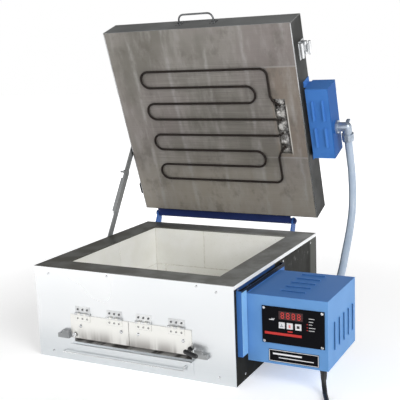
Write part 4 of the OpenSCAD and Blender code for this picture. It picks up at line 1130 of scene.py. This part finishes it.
def woolBuild(bm):
    (x0, u0), (x1, u1) = woolLook["low"], woolLook["high"]
    nx, nu = woolLook["cells"]
    slopeX, slopeU = woolLook["slopes"]
    grid = []
    for j in range(nu + 1):
        row = []
        for i in range(nx + 1):
            s, t = i / nx, j / nu
            x, u = x0 + s * (x1 - x0), u0 + t * (u1 - u0)
            edge = min(1.0, slopeX * min(s, 1 - s), slopeU * min(t, 1 - t))
            depth = max(woolDepth(x, u, edge), woolLook["least"])
            row.append(bm.verts.new(lidPoint(x, depth, u)))
        grid.append(row)
    for a, b in zip(grid, grid[1:]):
        for i in range(nx):
            bm.faces.new((a[i], a[i + 1], b[i + 1], b[i]))
    back = [bm.verts.new(lidPoint(x, woolLook["back"], u))
            for x, u in ((x0, u0), (x1, u0), (x1, u1), (x0, u1))]
    bm.faces.new(back)
    rims = [grid[0], [r[-1] for r in grid], list(reversed(grid[-1])),
            [r[0] for r in reversed(grid)]]
    for k, rim in enumerate(rims):
        bm.faces.new(rim + [back[(k + 1) % 4], back[k]])


wool = meshPiece("crumpled_packing", woolBuild, "lid", packing, True)
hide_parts("terminal_wool")
print("trim made")

# Floor: pale, and lit up more where it is seen far from the kiln
floorLook = {"size": 14.0, "rough": 0.9, "colour": (0.93, 0.93, 0.93), "spec": 0.1,
             "unseen": 0.28, "seen": (0.6, 2.2, 0.42, 0.90)}


def floorBuild(tree, shader):
    far = inner(tree, "ShaderNodeVectorMath", operation="LENGTH")
    tree.links.new(objectVector(tree), far.inputs[0])
    path = inner(tree, "ShaderNodeLightPath").outputs
    seen = mathNode(tree, "MAXIMUM", path["Is Camera Ray"], path["Is Glossy Ray"])
    shine = ramp(tree, far.outputs["Value"], *floorLook["seen"])
    extra = times(tree, seen, mathNode(tree, "SUBTRACT", shine, floorLook["unseen"]))
    tree.links.new(mathNode(tree, "ADD", extra, floorLook["unseen"]),
                   shader.inputs["Emission Strength"])
    shader.inputs["Emission Color"].default_value = (1, 1, 1, 1)


def addFloor():
    bm = bmesh.new()
    bmesh.ops.create_grid(bm, x_segments=1, y_segments=1, size=floorLook["size"])
    mesh = bpy.data.meshes.new("floor")
    bm.to_mesh(mesh)
    bm.free()
    mesh.materials.append(material("floorPale", floorLook["rough"], build=floorBuild,
                                   colour=floorLook["colour"], spec=floorLook["spec"]))
    floor = bpy.data.objects.new("floor", mesh)
    bpy.context.scene.collection.objects.link(floor)


# Area lights: place, aim, size, watts, and whether glossy surfaces show them
lights = {
    "key": ((2.7, -1.7, 1.8), (0.1, 0.0, 0.3), (1.8, 1.8), 66, True),
    "fill": ((-2.4, -2.2, 1.6), (0.0, 0.0, 0.3), (2.0, 2.0), 16, True),
    "rear": ((-1.8, 2.6, 1.2), (-0.1, 0.3, 0.4), (1.8, 1.4), 22, False),
}


def areaLight(name, location, target, size, power, glossy):
    data = bpy.data.lights.new(name, "AREA")
    data.shape = "RECTANGLE"
    data.size, data.size_y = size
    data.energy = power
    obj = bpy.data.objects.new(name, data)
    bpy.context.scene.collection.objects.link(obj)
    obj.visible_glossy = glossy
    obj.location = location
    way = Vector(target) - Vector(location)
    obj.rotation_euler = way.to_track_quat("-Z", "Y").to_euler()


# White surroundings, brighter towards the horizon
worldLook = {"fade": (0.17, 0.60, 1.0, 0.16), "colour": (1.0, 1.0, 1.0, 1.0)}


def worldLight():
    world = bpy.data.worlds.new("studio")
    bpy.context.scene.world = world
    world.use_nodes = True
    tree = world.node_tree
    background = tree.nodes["Background"]
    background.inputs["Color"].default_value = worldLook["colour"]
    where = inner(tree, "ShaderNodeTexCoord").outputs["Generated"]
    up = ramp(tree, axesOf(tree, where)["Z"], *worldLook["fade"])
    tree.links.new(up, background.inputs["Strength"])


addFloor()
worldLight()
for name, values in lights.items():
    areaLight(name, *values)
bpy.context.scene.view_settings.view_transform = "Standard"
print("stage set")
